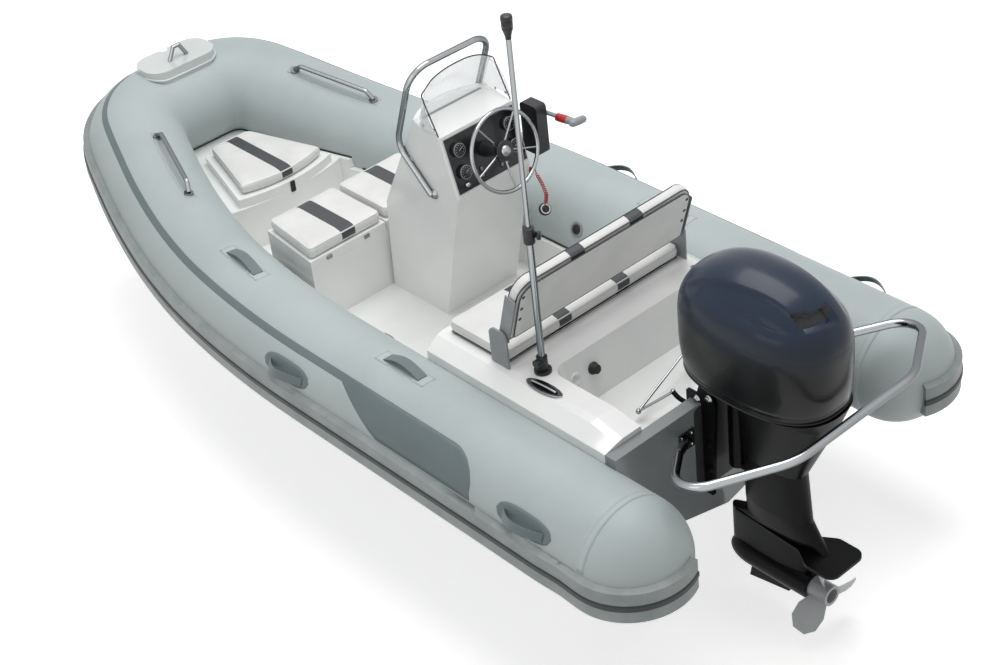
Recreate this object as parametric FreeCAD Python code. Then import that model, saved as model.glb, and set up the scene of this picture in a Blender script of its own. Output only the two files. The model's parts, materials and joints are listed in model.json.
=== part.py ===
import FreeCAD, Part
import math
import os

# Rigid inflatable boat with a side console, two seats and an outboard motor.
# Lengths are in millimetres. X points to the bow, Y to port and Z up, with the
# origin on the centreline at the waterline, halfway along the tubes. Fore and aft
# places are measured forward from the stern, about 33 mm aft of the cones, and
# heights from the waterline, unless a name says otherwise.

V = FreeCAD.Vector
OUT = "parts"

# Seats and clearances
seat_gap = 0.3
over = 5.0

# Inflated tubes
tube_radius = 215.0
tube_half_spacing = 689.0
tube_axis_height = 225.0
cone_root = 245.0
cone_length = 212.0
tube_straight_to = 1793.0
side_bend_radius = 5055.0
side_bend_angle = 21.1
bow_bend_radius = 245.0
sheer_start = 2569.0
sheer_length = 832.0
sheer_angle = 13.6

# Rubbing strake around the tubes, heights from the tube's axis
strake_top = 51.0
strake_bottom = -92.0
strake_thickness = 21.0
groove_top = -8.0
groove_bottom = -36.0
groove_depth = 12.0
insert_stand_off = 4.0
strake_inboard_wrap = 25.0
strake_overlap = 8.0

# Hull
transom_aft = 450.0
transom_thickness = 50.0
keel_depth = 110.0
chine_inset = 165.0
chine_drop = 200.0
shoulder_inset = 120.0
hull_top = 205.0
stem_forward = 3610.0
stem_height = 215.0
sole_height = 42.0
side_wall = 20.0

# Aft deck with the splash well
deck_front = 1420.0
deck_height = 460.0
deck_half_beam = 534.0
deck_edge_height = 414.0
deck_edge_depth = 25.0
deck_shoulder_half = 478.0
deck_shoulder_drop = 6.0
deck_flat_half = 446.0
deck_aft_height = 434.0
deck_ease_to = 620.0
well_front = 936.0
well_half = 368.0
well_floor = 262.0
well_slope = 46.0
well_corner = 60.0

# Bench seat
bench_aft = 1077.0
bench_fore = 1390.0
bench_half = 444.0
bench_board = 14.0
bench_pad = 42.0
back_bottom_x = 1066.0
back_bottom_z = 569.0
back_height = 272.0
back_lean = 17.0
back_panel = 12.0
back_pad = 40.0
back_half = 440.0
back_corner = 70.0
arm_thickness = 8.0
arm_aft = 1052.0
arm_fore = 1142.0
arm_height = 150.0
arm_pin_height = 118.0
arm_pin_radius = 7.0
arm_clearance = 5.5
hinge_plate = 4.0

# Front seat
front_seat_aft = 2316.0
front_seat_fore = 2650.0
front_seat_half = 392.0
front_box_top = 303.0
front_wall = 10.0
front_lid = 40.0
front_pad = 55.0
front_pad_inset = 8.0
front_taper = 34.0
lid_gap = 6.0
hinge_radius = 5.0
hinge_length = 52.0
hinge_half_spacing = 70.0

# Bow locker
locker_aft = 2966.0
locker_bulge = 46.0
locker_fore = 3530.0
locker_top = 252.0
locker_well_inset = 55.0
locker_well_floor = 96.0
bow_lid = 42.0
bow_lid_fore = 3440.0
bow_lid_half_fore = 125.0
bow_lid_half_aft = 250.0
bow_pad = 50.0
bow_pad_inset = 22.0

# Bow step and its eye
step_centre = 3738.0
step_length = 200.0
step_half = 178.0
step_top = 650.0
step_skirt = 62.0
step_notch_radius = 24.0
eye_rod = 9.0
eye_span = 92.0
eye_height = 58.0

# Console
console_port = 8.0
console_starboard = -372.0
foot_aft = 1965.0
foot_fore = 2308.0
dash_low_x = 1804.0
dash_low_z = 652.0
dash_top_x = 1874.0
dash_top_z = 896.0
console_front_x = 2024.0
console_front_z = 925.0
console_knee_x = 2276.0
console_knee_z = 463.0
console_bulge = 70.0
console_knee_bulge = 28.0
console_foot_bulge = 3.0
console_round = 9.0
console_skin = 7.0
dash_margin = 14.0
dash_plate = 5.0
gauge_radius = 27.0
gauge_depth = 14.0

# Windscreen on the console
screen_thickness = 4.0
screen_inset = 6.0
screen_fore_gap = 6.0
screen_base_side_x = 1868.0
screen_base_corner_x = 2010.0
screen_top_fore_x = 1950.0
screen_top_corner_x = 1925.0
screen_top_side_x = 1800.0
screen_top_z = 1120.0
screen_side_z = 1040.0
screen_corner_inset = 5.0
wing_low_x = 1880.0
wing_mid_x = 1932.0
wing_mid_z = 1000.0
wing_high_x = 1956.0
wing_high_z = 1056.0
wing_top_x = 1930.0

# Hand rail on the console
rail_radius = 12.5
rail_bend = 90.0
rail_foot_x = 1950.0
rail_foot_z = 622.0
rail_bulge_x = 2128.0
rail_bulge_z = 790.0
rail_top_x = 1985.0
rail_top_z = 1150.0

# Steering wheel
wheel_radius = 160.0
wheel_rim = 8.0
wheel_hub_radius = 26.0
wheel_hub_depth = 34.0
wheel_stand_off = 118.0
wheel_dash_height = 0.52
column_radius = 22.0
spoke_radius = 4.0
spoke_count = 5

# Engine control on the console's starboard side
control_aft = 1740.0
control_fore = 1835.0
control_low = 690.0
control_high = 905.0
control_depth = 52.0
lever_radius = 9.0
lever_length = 190.0

# Light pole
pole_x = 953.0
pole_y = 385.0
pole_low_radius = 12.5
pole_high_radius = 9.0
pole_bore_gap = 0.08
pole_stop_length = 60.0
pole_clamp_low = 1000.0
pole_clamp_high = 1060.0
pole_top = 1785.0
pole_base_radius = 32.0
pole_base_height = 34.0
pole_clamp_radius = 19.0
lamp_radius = 20.0
lamp_height = 60.0

# Tow bar
bar_radius = 16.0
bar_foot_half = 200.0
bar_foot_height = 300.0
bar_knee_x = 245.0
bar_knee_half = 440.0
bar_knee_height = 498.0
bar_corner_x = 86.0
bar_corner_half = 642.0
bar_corner_height = 535.0
bar_aft_x = -134.0
bar_aft_half = 300.0
bar_aft_height = 582.0
bar_knee_bend = 60.0
bar_corner_bend = 100.0
bar_aft_bend = 200.0
bar_plate = 6.0
bar_plate_size = 76.0
bar_run_on = 40.0

# Outboard motor
tilt_x = 432.0
tilt_z = 458.0
tilt_tube_radius = 16.0
clamp_half = 118.0
clamp_plate = 16.0
clamp_low = 20.0
clamp_aft = 385.0
clamp_hook_top = 440.0
clamp_hook_low = 330.0
clamp_hook = 18.0
clamp_crown = 26.0
swivel_x = 392.0
swivel_radius = 34.0
swivel_low = 130.0
swivel_high = 494.0
yoke_depth = 22.0
yoke_half = 20.0
cowl_aft = -68.0
cowl_fore = 582.0
cowl_half = 198.0
cowl_low = 548.0
cowl_seam = 765.0
cowl_top = 1007.0
cowl_skin = 6.0
power_length = 390.0
power_width = 260.0
power_height = 280.0
pan_drop = 52.0
leg_fore = 352.0
pan_aft = -64.0
pan_fore = 548.0
pan_half = 186.0
throat_aft = -48.0
throat_half = 122.0
leg_neck_z = 211.0
leg_neck_aft = 86.0
leg_bend_z = 10.0
leg_bend_aft = 61.0
leg_low_aft = 6.0
leg_low_half = 40.0
leg_plate_aft = -22.0
leg_plate_half = 34.0
strut_aft = 66.0
strut_fore = 425.0
strut_half = 30.0
skeg_aft = 162.0
skeg_fore = 349.0
skeg_low = -396.0
skeg_aft_low = -363.0
skeg_thickness = 12.0
plate_corner = 40.0
leg_half = 58.0
leg_low = -60.0
plate_height = -87.0
plate_thickness = 12.0
plate_fore = 390.0
plate_aft = -108.0
plate_half = 92.0
plate_wide_to = 10.0
plate_neck_x = 80.0
plate_neck_half = 48.0
gear_radius = 54.0
gear_nose = 432.0
gear_tail = 50.0
shaft_height = -270.0
prop_radius = 165.0
prop_hub_radius = 40.0
prop_hub_length = 82.0
prop_blades = 3
prop_turn = 237.0
prop_blade_thickness = 7.0
prop_gap = 0.3

# Handles on the tubes
handle_rod = 10.0
handle_stand = 45.0
bow_handle_aft = 3014.0
bow_handle_fore = 3431.0
bow_handle_angle = 101.0
strap_angle = 93.0
flank_angle = 24.0
strap_places = ((1271.0, 1466.0), (2289.0, 2508.0))
strap_height = 26.0
strap_width = 42.0
strap_thickness = 4.0
flank_places = ((442.0, 637.0), (1740.0, 1934.0))
flank_stand = 46.0
flank_web = 5.0


def solid_of(shape):
    """The one solid in a shape, or the shape when it has several."""
    shape = shape.removeSplitter() if len(shape.Solids) == 1 else shape
    return shape.Solids[0] if len(shape.Solids) == 1 else Part.makeCompound(shape.Solids)


def write(name, shape):
    shape.exportStep(os.path.join(OUT, name + ".step"))


def box(x0, x1, y0, y1, z0, z1):
    """A box in the boat's frame, x measured from the stern."""
    return Part.makeBox(x1 - x0, y1 - y0, z1 - z0, V(stern + x0, y0, z0))


def rod(a, b, radius):
    axis = b - a
    return Part.makeCylinder(radius, axis.Length, a, axis)


def mirror_y(shape):
    return shape.mirror(V(0, 0, 0), V(0, 1, 0))


def face_of(points):
    return Part.Face(Part.makePolygon(points + [points[0]]))


def side_profile(points, y0, y1):
    """Extrude an outline of (x from the stern, z) from y0 to y1."""
    outline = [V(stern + x, y0, z) for x, z in points]
    return face_of(outline).extrude(V(0, y1 - y0, 0))


def fused(shapes):
    result = shapes[0]
    for shape in shapes[1:]:
        result = result.fuse(shape)
    return result


# Centreline of the port tube, as plan distance, then raised by the sheer

bend = math.radians(side_bend_angle)
side_arc = side_bend_radius * bend
side_end_u = tube_straight_to + side_bend_radius * math.sin(bend)
side_end_y = tube_half_spacing - side_bend_radius * (1 - math.cos(bend))
bow_arc = bow_bend_radius * (math.pi / 2 - bend)
bow_u = side_end_u + bow_bend_radius * (1 - math.sin(bend))
bow_y = side_end_y - bow_bend_radius * math.cos(bend)
side_length = tube_straight_to + side_arc
half_length = side_length + bow_arc + bow_y


def plan(s):
    """Forward distance, half breadth and heading at distance s along the tube."""
    if s <= tube_straight_to:
        return s, tube_half_spacing, 0.0
    if s <= side_length:
        a = (s - tube_straight_to) / side_bend_radius
        return (tube_straight_to + side_bend_radius * math.sin(a),
                tube_half_spacing - side_bend_radius * (1 - math.cos(a)), a)
    if s <= side_length + bow_arc:
        a = bend + (s - side_length) / bow_bend_radius
        return (side_end_u + bow_bend_radius * (math.sin(a) - math.sin(bend)),
                side_end_y - bow_bend_radius * (math.cos(bend) - math.cos(a)), a)
    return bow_u, bow_y - (s - side_length - bow_arc), math.pi / 2


def sheer(u):
    """Forward place, rise and slope of the tube's axis at forward distance u."""
    slope = math.radians(sheer_angle)
    radius = sheer_length / slope
    if u <= sheer_start:
        return u, 0.0, 0.0
    a = min(u - sheer_start, sheer_length) / radius
    x = sheer_start + radius * math.sin(a)
    z = radius * (1 - math.cos(a))
    rest = max(u - sheer_start - sheer_length, 0.0)
    return x + rest * math.cos(a), z + rest * math.sin(a), a


stern = -(sheer(bow_u)[0] + tube_radius) / 2


def tube_frame(s):
    """Centre, forward, outward and up directions of the port tube at s."""
    u, y, heading = plan(s)
    x, rise, slope = sheer(u)
    centre = V(stern + x, y, tube_axis_height + rise)
    ahead = V(math.cos(heading) * math.cos(slope), -math.sin(heading),
              math.cos(heading) * math.sin(slope))
    outward = V(math.sin(heading) * math.cos(slope), math.cos(heading),
                math.sin(heading) * math.sin(slope))
    return centre, ahead, outward, ahead.cross(outward)


def starboard_frame(frame):
    """The same section on the starboard tube, run through from bow to stern."""
    c, a, o, u = [V(v.x, -v.y, v.z) for v in frame]
    return c, a * -1, o, u


def place(shape, frame):
    """Put a section drawn with X outward and Y up at a frame of the tube."""
    c, a, o, u = frame
    m = FreeCAD.Matrix(o.x, u.x, a.x, c.x, o.y, u.y, a.y, c.y, o.z, u.z, a.z, c.z, 0, 0, 0, 1)
    placed = shape.copy()
    placed.Placement = FreeCAD.Placement(m)
    return placed


def steps(a, b, count):
    return [a + (b - a) * i / count for i in range(count + 1)]


def circle_wire(radius):
    return Part.Wire([Part.Circle(V(0, 0, 0), V(0, 0, 1), radius).toShape()])


def loft(wires, ruled=False):
    return Part.makeLoft(wires, True, ruled)


def side_stations():
    return steps(cone_root, tube_straight_to, 8) + steps(tube_straight_to, side_length, 12)[1:]


def bow_stations():
    return steps(side_length, side_length + bow_arc, 10) + [half_length]


def bow_frames():
    port = [tube_frame(s) for s in bow_stations()]
    return port + [starboard_frame(f) for f in reversed(port[:-1])]


def cone(radius, length):
    """Domed end of a tube, pointing aft from the tube's first section."""
    ball = Part.makeSphere(radius, V(0, 0, 0), V(-1, 0, 0), 0, 90, 360)
    stretch = FreeCAD.Matrix()
    stretch.scale(length / radius, 1, 1)
    ball = ball.transformGeometry(stretch)
    ball.translate(tube_frame(cone_root)[0])
    return ball


def tube_side(radius, grow=0.0):
    wires = [place(circle_wire(radius), tube_frame(s)) for s in side_stations()]
    return loft(wires).fuse(cone(radius, cone_length + grow))


def tube_bow(radius):
    return loft([place(circle_wire(radius), f) for f in bow_frames()])


def cone_frame(angle):
    """Frame whose section reaches the cone's skin at an angle round its plan."""
    c = tube_frame(cone_root)[0]
    skin = c + V(-cone_length * math.sin(angle), tube_radius * math.cos(angle), 0)
    outward = V(-math.sin(angle) / cone_length, math.cos(angle) / tube_radius, 0)
    outward.normalize()
    ahead = outward.cross(V(0, 0, 1))
    return skin - outward * tube_radius, ahead, outward, V(0, 0, 1)


def side_strake_frames():
    """Sections of the strake from inboard of the port cone to the bow tube."""
    wrap = math.radians(90 + strake_inboard_wrap)
    return [cone_frame(a) for a in steps(wrap, 0, 12)[:-1]] + [tube_frame(s) for s in side_stations()]


def back_point(height):
    """Point at a height on the strake's back, which runs on a little into the tube."""
    r = tube_radius - strake_overlap
    return V(math.sqrt(r * r - height * height), height, 0)


def strake_section():
    """Outline of the strake's section, before the tubes are cut out of its back."""
    outer = tube_radius + strake_thickness
    middle = (strake_top + strake_bottom) / 2
    r = tube_radius - strake_overlap
    edge = strake_thickness / 2
    front = [back_point(strake_top), V(outer, strake_top - edge, 0), V(outer, groove_top, 0),
             V(outer - groove_depth, groove_top, 0), V(outer - groove_depth, groove_bottom, 0),
             V(outer, groove_bottom, 0), V(outer, strake_bottom + edge, 0), back_point(strake_bottom)]
    lines = [Part.LineSegment(a, b).toShape() for a, b in zip(front, front[1:])]
    back = Part.Arc(back_point(strake_bottom), V(math.sqrt(r * r - middle * middle), middle, 0),
                    back_point(strake_top)).toShape()
    return Part.Wire(lines + [back])


def insert_section():
    inner = tube_radius + strake_thickness - groove_depth + seat_gap
    edge = tube_radius + strake_thickness
    top, bottom = groove_top - seat_gap, groove_bottom + seat_gap
    crown = (top - bottom) / 5
    points = [V(inner, top, 0), V(edge, top, 0), V(edge + insert_stand_off, top - crown, 0),
              V(edge + insert_stand_off, bottom + crown, 0), V(edge, bottom, 0), V(inner, bottom, 0)]
    return Part.makePolygon(points + [points[0]])


def swept(section, frames):
    return loft([place(section, f) for f in frames])


def make_strake(tubes):
    """Strake in three runs, each cut to its own tube, then joined."""
    port = swept(strake_section(), side_strake_frames()).cut(tubes[0])
    bow = swept(strake_section(), bow_frames()).cut(tubes[2])
    return solid_of(fused([port, bow, mirror_y(port)]))


def make_insert():
    port = swept(insert_section(), side_strake_frames())
    return solid_of(fused([port, swept(insert_section(), bow_frames()), mirror_y(port)]))


def tube_clearance():
    """The space that the tubes fill, with the seating gap round it."""
    port = tube_side(tube_radius + seat_gap, seat_gap)
    return [port, mirror_y(port), tube_bow(tube_radius + seat_gap)]


def clear_of_tubes(shape, tubes):
    for tube in tubes:
        shape = shape.cut(tube)
    return shape


def tube_at(d):
    """Half breadth and rise of the tube's axis, d forward of the stern."""
    low, high = 0.0, half_length
    for _ in range(40):
        mid = (low + high) / 2
        if sheer(plan(mid)[0])[0] < d:
            low = mid
        else:
            high = mid
    u, y, heading = plan(low)
    return y, tube_axis_height + sheer(u)[1], heading


# Hull sections from the transom to the stem, as shares
hull_length_shares = (0.0, 0.25, 0.45, 0.60, 0.72, 0.82, 0.90, 0.96, 1.0)
keel_rise_shares = (0.0, 0.0, 0.01, 0.04, 0.12, 0.27, 0.49, 0.75, 1.0)


def hull_section(length_share, rise_share):
    d0 = transom_aft + transom_thickness
    d = d0 + (stem_forward - d0) * length_share
    y, z, heading = tube_at(d)
    flat = math.cos(heading)
    keel = -keel_depth + (stem_height - stem_height / 12 + keel_depth) * rise_share
    chine_y = max(y - chine_inset / flat, side_wall)
    chine_z = min(max(z - chine_drop, keel + stem_height / 30), hull_top - stem_height / 30)
    top_y = max(y - shoulder_inset / flat, chine_y + side_wall / 2)
    half = [(0, keel), (chine_y, chine_z), (top_y, hull_top)]
    ring = half + [(-a, b) for a, b in reversed(half[1:])]
    points = [V(stern + d, a, b) for a, b in ring]
    return Part.makePolygon(points + [points[0]])


def cockpit_pocket():
    """Space inside the cockpit, above the sole and aft of the bow locker."""
    reach = tube_radius + side_wall
    half = tube_half_spacing - reach
    centre_y = tube_half_spacing - side_bend_radius
    radius = side_bend_radius - reach
    end = math.asin((locker_aft + locker_bulge - tube_straight_to) / radius)
    mid = end / 2

    def on_arc(a):
        return V(stern + tube_straight_to + radius * math.sin(a),
                 centre_y + radius * math.cos(a), sole_height)

    start = V(stern + tube_straight_to, half, sole_height)
    aft = V(stern + deck_front - over, half, sole_height)
    flip = [V(p.x, -p.y, p.z) for p in (start, aft, on_arc(mid), on_arc(end))]
    edges = [Part.LineSegment(aft, start).toShape(),
             Part.Arc(start, on_arc(mid), on_arc(end)).toShape(),
             Part.Arc(on_arc(end), V(stern + locker_aft, 0, sole_height), flip[3]).toShape(),
             Part.Arc(flip[3], flip[2], flip[0]).toShape(),
             Part.LineSegment(flip[0], flip[1]).toShape(),
             Part.LineSegment(flip[1], aft).toShape()]
    return Part.Face(Part.Wire(edges)).extrude(V(0, 0, deck_height))


def locker_outline(inset, z):
    """Closed plan of the bow locker's lid, pulled in by inset."""
    aft = V(stern + locker_aft + inset, 0, z)
    corner_x = stern + locker_aft + locker_bulge + inset
    fore_x = stern + bow_lid_fore - inset
    half_aft = bow_lid_half_aft - inset
    half_fore = bow_lid_half_fore - inset
    pa, sa = V(corner_x, half_aft, z), V(corner_x, -half_aft, z)
    pf, sf = V(fore_x, half_fore, z), V(fore_x, -half_fore, z)
    edges = [Part.Arc(sa, aft, pa).toShape(), Part.LineSegment(pa, pf).toShape(),
             Part.LineSegment(pf, sf).toShape(), Part.LineSegment(sf, sa).toShape()]
    return Part.Face(Part.Wire(edges))


def locker_well():
    depth = locker_top + over - locker_well_floor
    return locker_outline(locker_well_inset, locker_well_floor).extrude(V(0, 0, depth))


def make_hull(tubes):
    wires = [hull_section(a, b) for a, b in zip(hull_length_shares, keel_rise_shares)]
    hull = loft(wires)
    hull = hull.cut(cockpit_pocket()).cut(locker_well())
    return clear_of_tubes(hull, tubes)


def make_bow_locker(tubes):
    """Raised bow deck round the locker's mouth."""
    block = box(locker_aft, locker_fore, -tube_half_spacing, tube_half_spacing, hull_top, locker_top)
    block = block.cut(cockpit_pocket()).cut(locker_well())
    pieces = clear_of_tubes(block, tubes).Solids
    return min(pieces, key=lambda piece: abs(piece.CenterOfMass.y))


def deck_section(x0, height):
    """Closed section of the aft deck at x0, with rounded shoulders down to its edge."""
    edge = deck_edge_height - deck_edge_depth
    half = [(deck_flat_half, height), (deck_shoulder_half, height - deck_shoulder_drop),
            (deck_half_beam, deck_edge_height), (deck_half_beam, edge),
            (tube_half_spacing - shoulder_inset, hull_top)]
    ring = half + [(-a, b) for a, b in reversed(half)]
    points = [V(stern + x0, a, b) for a, b in ring]
    return Part.makePolygon(points + [points[0]])


def splash_well(front):
    """Space of the splash well, wider at the top, open to the transom."""
    low = [V(stern + front - over, s * (well_half - well_slope), well_floor) for s in (-1, 1)]
    low += [V(stern + well_front - well_slope, -s * (well_half - well_slope), well_floor) for s in (-1, 1)]
    high = [V(stern + front - over, s * well_half, deck_height + over) for s in (-1, 1)]
    high += [V(stern + well_front, -s * well_half, deck_height + over) for s in (-1, 1)]
    well = loft([Part.makePolygon(low + [low[0]]), Part.makePolygon(high + [high[0]])], True)
    uprights = [e for e in well.Edges if e.BoundBox.ZLength > well_slope
                and e.CenterOfMass.x > stern + well_front - 2 * well_slope]
    return well.makeFillet(well_corner, uprights)


def make_aft_deck(tubes):
    front = transom_aft + transom_thickness
    places = ((front, deck_aft_height), (deck_ease_to, deck_height), (deck_front, deck_height))
    deck = loft([deck_section(x, height) for x, height in places], True)
    return clear_of_tubes(deck.cut(splash_well(front)), tubes)


def make_transom(tubes):
    y, z, heading = tube_at(transom_aft)
    edge = deck_edge_height - deck_edge_depth
    half = [(0, -keel_depth), (y - chine_inset, z - chine_drop), (y - shoulder_inset, hull_top),
            (deck_half_beam, edge), (deck_half_beam, deck_edge_height)]
    ring = half + [(-a, b) for a, b in reversed(half[1:])]
    face = face_of([V(stern + transom_aft, a, b) for a, b in ring])
    return clear_of_tubes(face.extrude(V(transom_thickness, 0, 0)), tubes)


def make_bench():
    board = box(bench_aft, bench_fore, -bench_half, bench_half, deck_height, deck_height + bench_board)
    low = deck_height + bench_board + seat_gap
    pad = box(bench_aft, bench_fore, -bench_half, bench_half, low, low + bench_pad)
    return board, pad.makeFillet(bench_pad / 4, pad.Edges)


def lean(shape):
    """Tip a backrest part aft about its lower edge."""
    turned = shape.copy()
    turned.rotate(V(stern + back_bottom_x, 0, back_bottom_z), V(0, 1, 0), -back_lean)
    return turned


def back_board(x0, x1):
    """Upright board of the backrest with round top corners."""
    board = box(x0, x1, -back_half, back_half, back_bottom_z, back_bottom_z + back_height)
    tops = [e for e in board.Edges if e.BoundBox.XLength > (x1 - x0) / 2
            and e.CenterOfMass.z > back_bottom_z + back_height / 2]
    return board.makeFillet(back_corner, tops)


def make_backrest():
    x, z = back_bottom_x, back_bottom_z
    panel = back_board(x - back_panel, x)
    pad = back_board(x + seat_gap, x + back_pad)
    rims = [e for e in pad.Edges if e.BoundBox.XLength < back_pad / 2]
    return lean(panel), lean(pad.makeFillet(back_pad / 4, rims))


def pivot():
    """Pivot of the backrest, in its two arms."""
    return V(stern + (arm_aft + arm_fore) / 2, 0, deck_height + arm_pin_height)


def make_arms():
    """Upright arms outboard of the bench, with a pin in each."""
    shapes = []
    for side in (-1, 1):
        y0 = side * (bench_half + arm_clearance)
        y1 = y0 + side * arm_thickness
        arm = box(arm_aft, arm_fore, min(y0, y1), max(y0, y1), deck_height, deck_height + arm_height)
        ends = [e for e in arm.Edges if e.BoundBox.ZMin > deck_height + arm_height / 2
                and e.BoundBox.YLength > arm_thickness / 2 and e.BoundBox.XLength < arm_thickness]
        arm = arm.makeFillet((arm_fore - arm_aft) / 3, ends)
        shapes.append(arm)
    return Part.makeCompound([solid_of(s) for s in shapes])


def make_back_frame():
    """Side plates of the backrest that turn on the arms' pins."""
    plates = []
    x, z = back_bottom_x, back_bottom_z
    for side in (-1, 1):
        y0 = side * (back_half + seat_gap)
        y1 = y0 + side * hinge_plate
        upright = lean(box(x - back_panel, x + back_pad, min(y0, y1), max(y0, y1), z, z + back_height * 3 / 4))
        reach = bench_half + arm_clearance - seat_gap - back_half - seat_gap
        hub = Part.makeCylinder(arm_pin_radius * 2, reach, V(pivot().x, y0, pivot().z), V(0, side, 0))
        plates.append(solid_of(upright.fuse(hub)))
    return Part.makeCompound(plates)


def seat_outline(half_aft, half_fore, x0, x1, z):
    points = [V(stern + x0, -half_aft, z), V(stern + x0, half_aft, z),
              V(stern + x1, half_fore, z), V(stern + x1, -half_fore, z)]
    return face_of(points)


def make_front_box(tubes):
    half_fore = front_seat_half - front_taper
    outer = seat_outline(front_seat_half, half_fore, front_seat_aft, front_seat_fore, sole_height)
    outer = outer.extrude(V(0, 0, front_box_top - sole_height))
    inner = seat_outline(front_seat_half - front_wall, half_fore - front_wall,
                         front_seat_aft + front_wall, front_seat_fore - front_wall,
                         sole_height + front_wall).extrude(V(0, 0, front_box_top))
    divider = box(front_seat_aft, front_seat_fore, -front_wall / 2, front_wall / 2,
                  sole_height, front_box_top)
    return clear_of_tubes(outer.cut(inner).fuse(divider), tubes)


def half_seat(side, inset, z, height):
    """One half of the front seat's plan, raised to a height."""
    half_aft = front_seat_half - inset
    half_fore = front_seat_half - front_taper - inset
    inner = lid_gap / 2 + inset
    x0, x1 = stern + front_seat_aft + inset, stern + front_seat_fore - inset
    points = [V(x0, side * inner, z), V(x0, side * half_aft, z),
              V(x1, side * half_fore, z), V(x1, side * inner, z)]
    return face_of(points).extrude(V(0, 0, height))


def barrels(x, y, z):
    """Pair of hinge barrels along a lid's fore edge, either side of y."""
    places = [y + side * hinge_half_spacing - hinge_length / 2 for side in (-1, 1)]
    return [Part.makeCylinder(hinge_radius, hinge_length, V(stern + x, start, z), V(0, 1, 0))
            for start in places]


def make_front_lid(side):
    top = front_box_top + seat_gap + front_lid
    lid = fused([half_seat(side, 0, front_box_top + seat_gap, front_lid)]
                + barrels(front_seat_fore, side * front_seat_half / 2, top))
    pad = half_seat(side, front_pad_inset, top + seat_gap, front_pad)
    return lid, pad.makeFillet(front_pad / 4, pad.Edges)


def make_bow_lid():
    low = locker_top + seat_gap
    top = low + bow_lid
    lid = fused([locker_outline(0, low).extrude(V(0, 0, bow_lid))] + barrels(bow_lid_fore, 0, top))
    pad = locker_outline(bow_pad_inset, top + seat_gap).extrude(V(0, 0, bow_pad))
    return lid, pad.makeFillet(bow_pad / 4, pad.Edges)


def make_step():
    """Moulded step that straddles the bow tube."""
    low = step_top - step_skirt
    block = box(step_centre - step_length / 2, step_centre + step_length / 2,
                -step_half, step_half, low, step_top)
    uprights = [e for e in block.Edges if e.BoundBox.ZLength > step_skirt / 2]
    block = block.makeFillet(step_length * 0.4, uprights)
    notch = Part.makeCylinder(step_notch_radius, step_skirt * 2,
                              V(stern + step_centre + step_length / 2, 0, low - over))
    tube = tube_bow(tube_radius + seat_gap)
    return block.cut(notch).cut(tube)


def make_eye():
    x = stern + step_centre - step_length / 8
    feet = [V(x, s * eye_span / 2, step_top) for s in (-1, 1)]
    tops = [V(x, s * eye_span / 6, step_top + eye_height) for s in (-1, 1)]
    parts = [rod(feet[0], tops[0], eye_rod), rod(tops[0], tops[1], eye_rod), rod(tops[1], feet[1], eye_rod)]
    parts += [Part.makeSphere(eye_rod, t) for t in tops]
    shape = fused(parts)
    below = box(0, step_centre * 2, -step_half, step_half, 0, step_top)
    return shape.cut(below)


def console_points(inset=0.0):
    """Side outline of the console, pulled in by inset."""
    points = [(foot_aft, sole_height), (dash_low_x, dash_low_z), (dash_top_x, dash_top_z),
              (console_front_x, console_front_z), (console_knee_x, console_knee_z),
              (foot_fore, sole_height)]
    if not inset:
        return points
    wire = Part.makePolygon([V(x, z, 0) for x, z in points] + [V(*points[0], 0)])
    inner = wire.makeOffset2D(-inset, 2)
    return [(v.Point.x, v.Point.y) for v in inner.OrderedVertexes]


def console_nose(inset):
    """Rounded front of the console, bulging forward between its two sides."""
    middle = (console_port + console_starboard) / 2
    half = (console_port - console_starboard) / 2 - inset
    levels = ((console_front_x, console_front_z - inset, console_bulge),
              (console_knee_x, console_knee_z, console_knee_bulge),
              (foot_fore, sole_height + inset, console_foot_bulge))
    wires = []
    for x, z, bulge in levels:
        sides = [V(stern + x - inset - over, middle + side * half, z) for side in (-1, 1)]
        corners = [V(stern + x - inset, middle + side * half, z) for side in (-1, 1)]
        crown = V(stern + x - inset + bulge, middle, z)
        edges = [Part.LineSegment(sides[1], sides[0]).toShape(),
                 Part.LineSegment(sides[0], corners[0]).toShape(),
                 Part.Arc(corners[0], crown, corners[1]).toShape(),
                 Part.LineSegment(corners[1], sides[1]).toShape()]
        wires.append(Part.Wire(edges))
    return loft(wires, True)


def make_console():
    """Hollow console, open underneath, with rounded edges beside the dash."""
    block = side_profile(console_points(), console_starboard, console_port)
    long_edges = [e for e in block.Edges if e.BoundBox.YLength < console_round
                  and e.CenterOfMass.x < stern + console_front_x and e.CenterOfMass.z > dash_low_z]
    block = block.makeFillet(console_round, long_edges)
    outer = block.fuse(console_nose(0))
    inner = side_profile(console_points(console_skin), console_starboard + console_skin,
                         console_port - console_skin)
    inner = inner.fuse(console_nose(console_skin))
    drop = box(foot_aft + console_skin * 2, foot_fore - console_skin * 2,
               console_starboard + console_skin, console_port - console_skin,
               sole_height - over, sole_height + console_skin * 2)
    return outer.cut(inner).cut(drop)


def dash_axes():
    """Up and outward directions of the dash, and its lower corner."""
    up = V(dash_top_x - dash_low_x, 0, dash_top_z - dash_low_z)
    height = up.Length
    up.normalize()
    out = V(-up.z, 0, up.x)
    return V(stern + dash_low_x, 0, dash_low_z), up, out, height


def on_dash(y, share, lift=0.0):
    low, up, out, height = dash_axes()
    point = low + up * (height * share) + out * lift
    return V(point.x, y, point.z)


def make_dash():
    margin = dash_margin / dash_axes()[3]
    y0, y1 = console_starboard + dash_margin, console_port - dash_margin
    corners = [on_dash(y0, margin, seat_gap), on_dash(y1, margin, seat_gap),
               on_dash(y1, 1 - margin, seat_gap), on_dash(y0, 1 - margin, seat_gap)]
    return face_of(corners).extrude(dash_axes()[2] * dash_plate)


# Instruments on the dash, as shares of its width and height
gauge_shares = ((0.16, 0.72), (0.16, 0.36), (0.84, 0.72), (0.84, 0.36))


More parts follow.
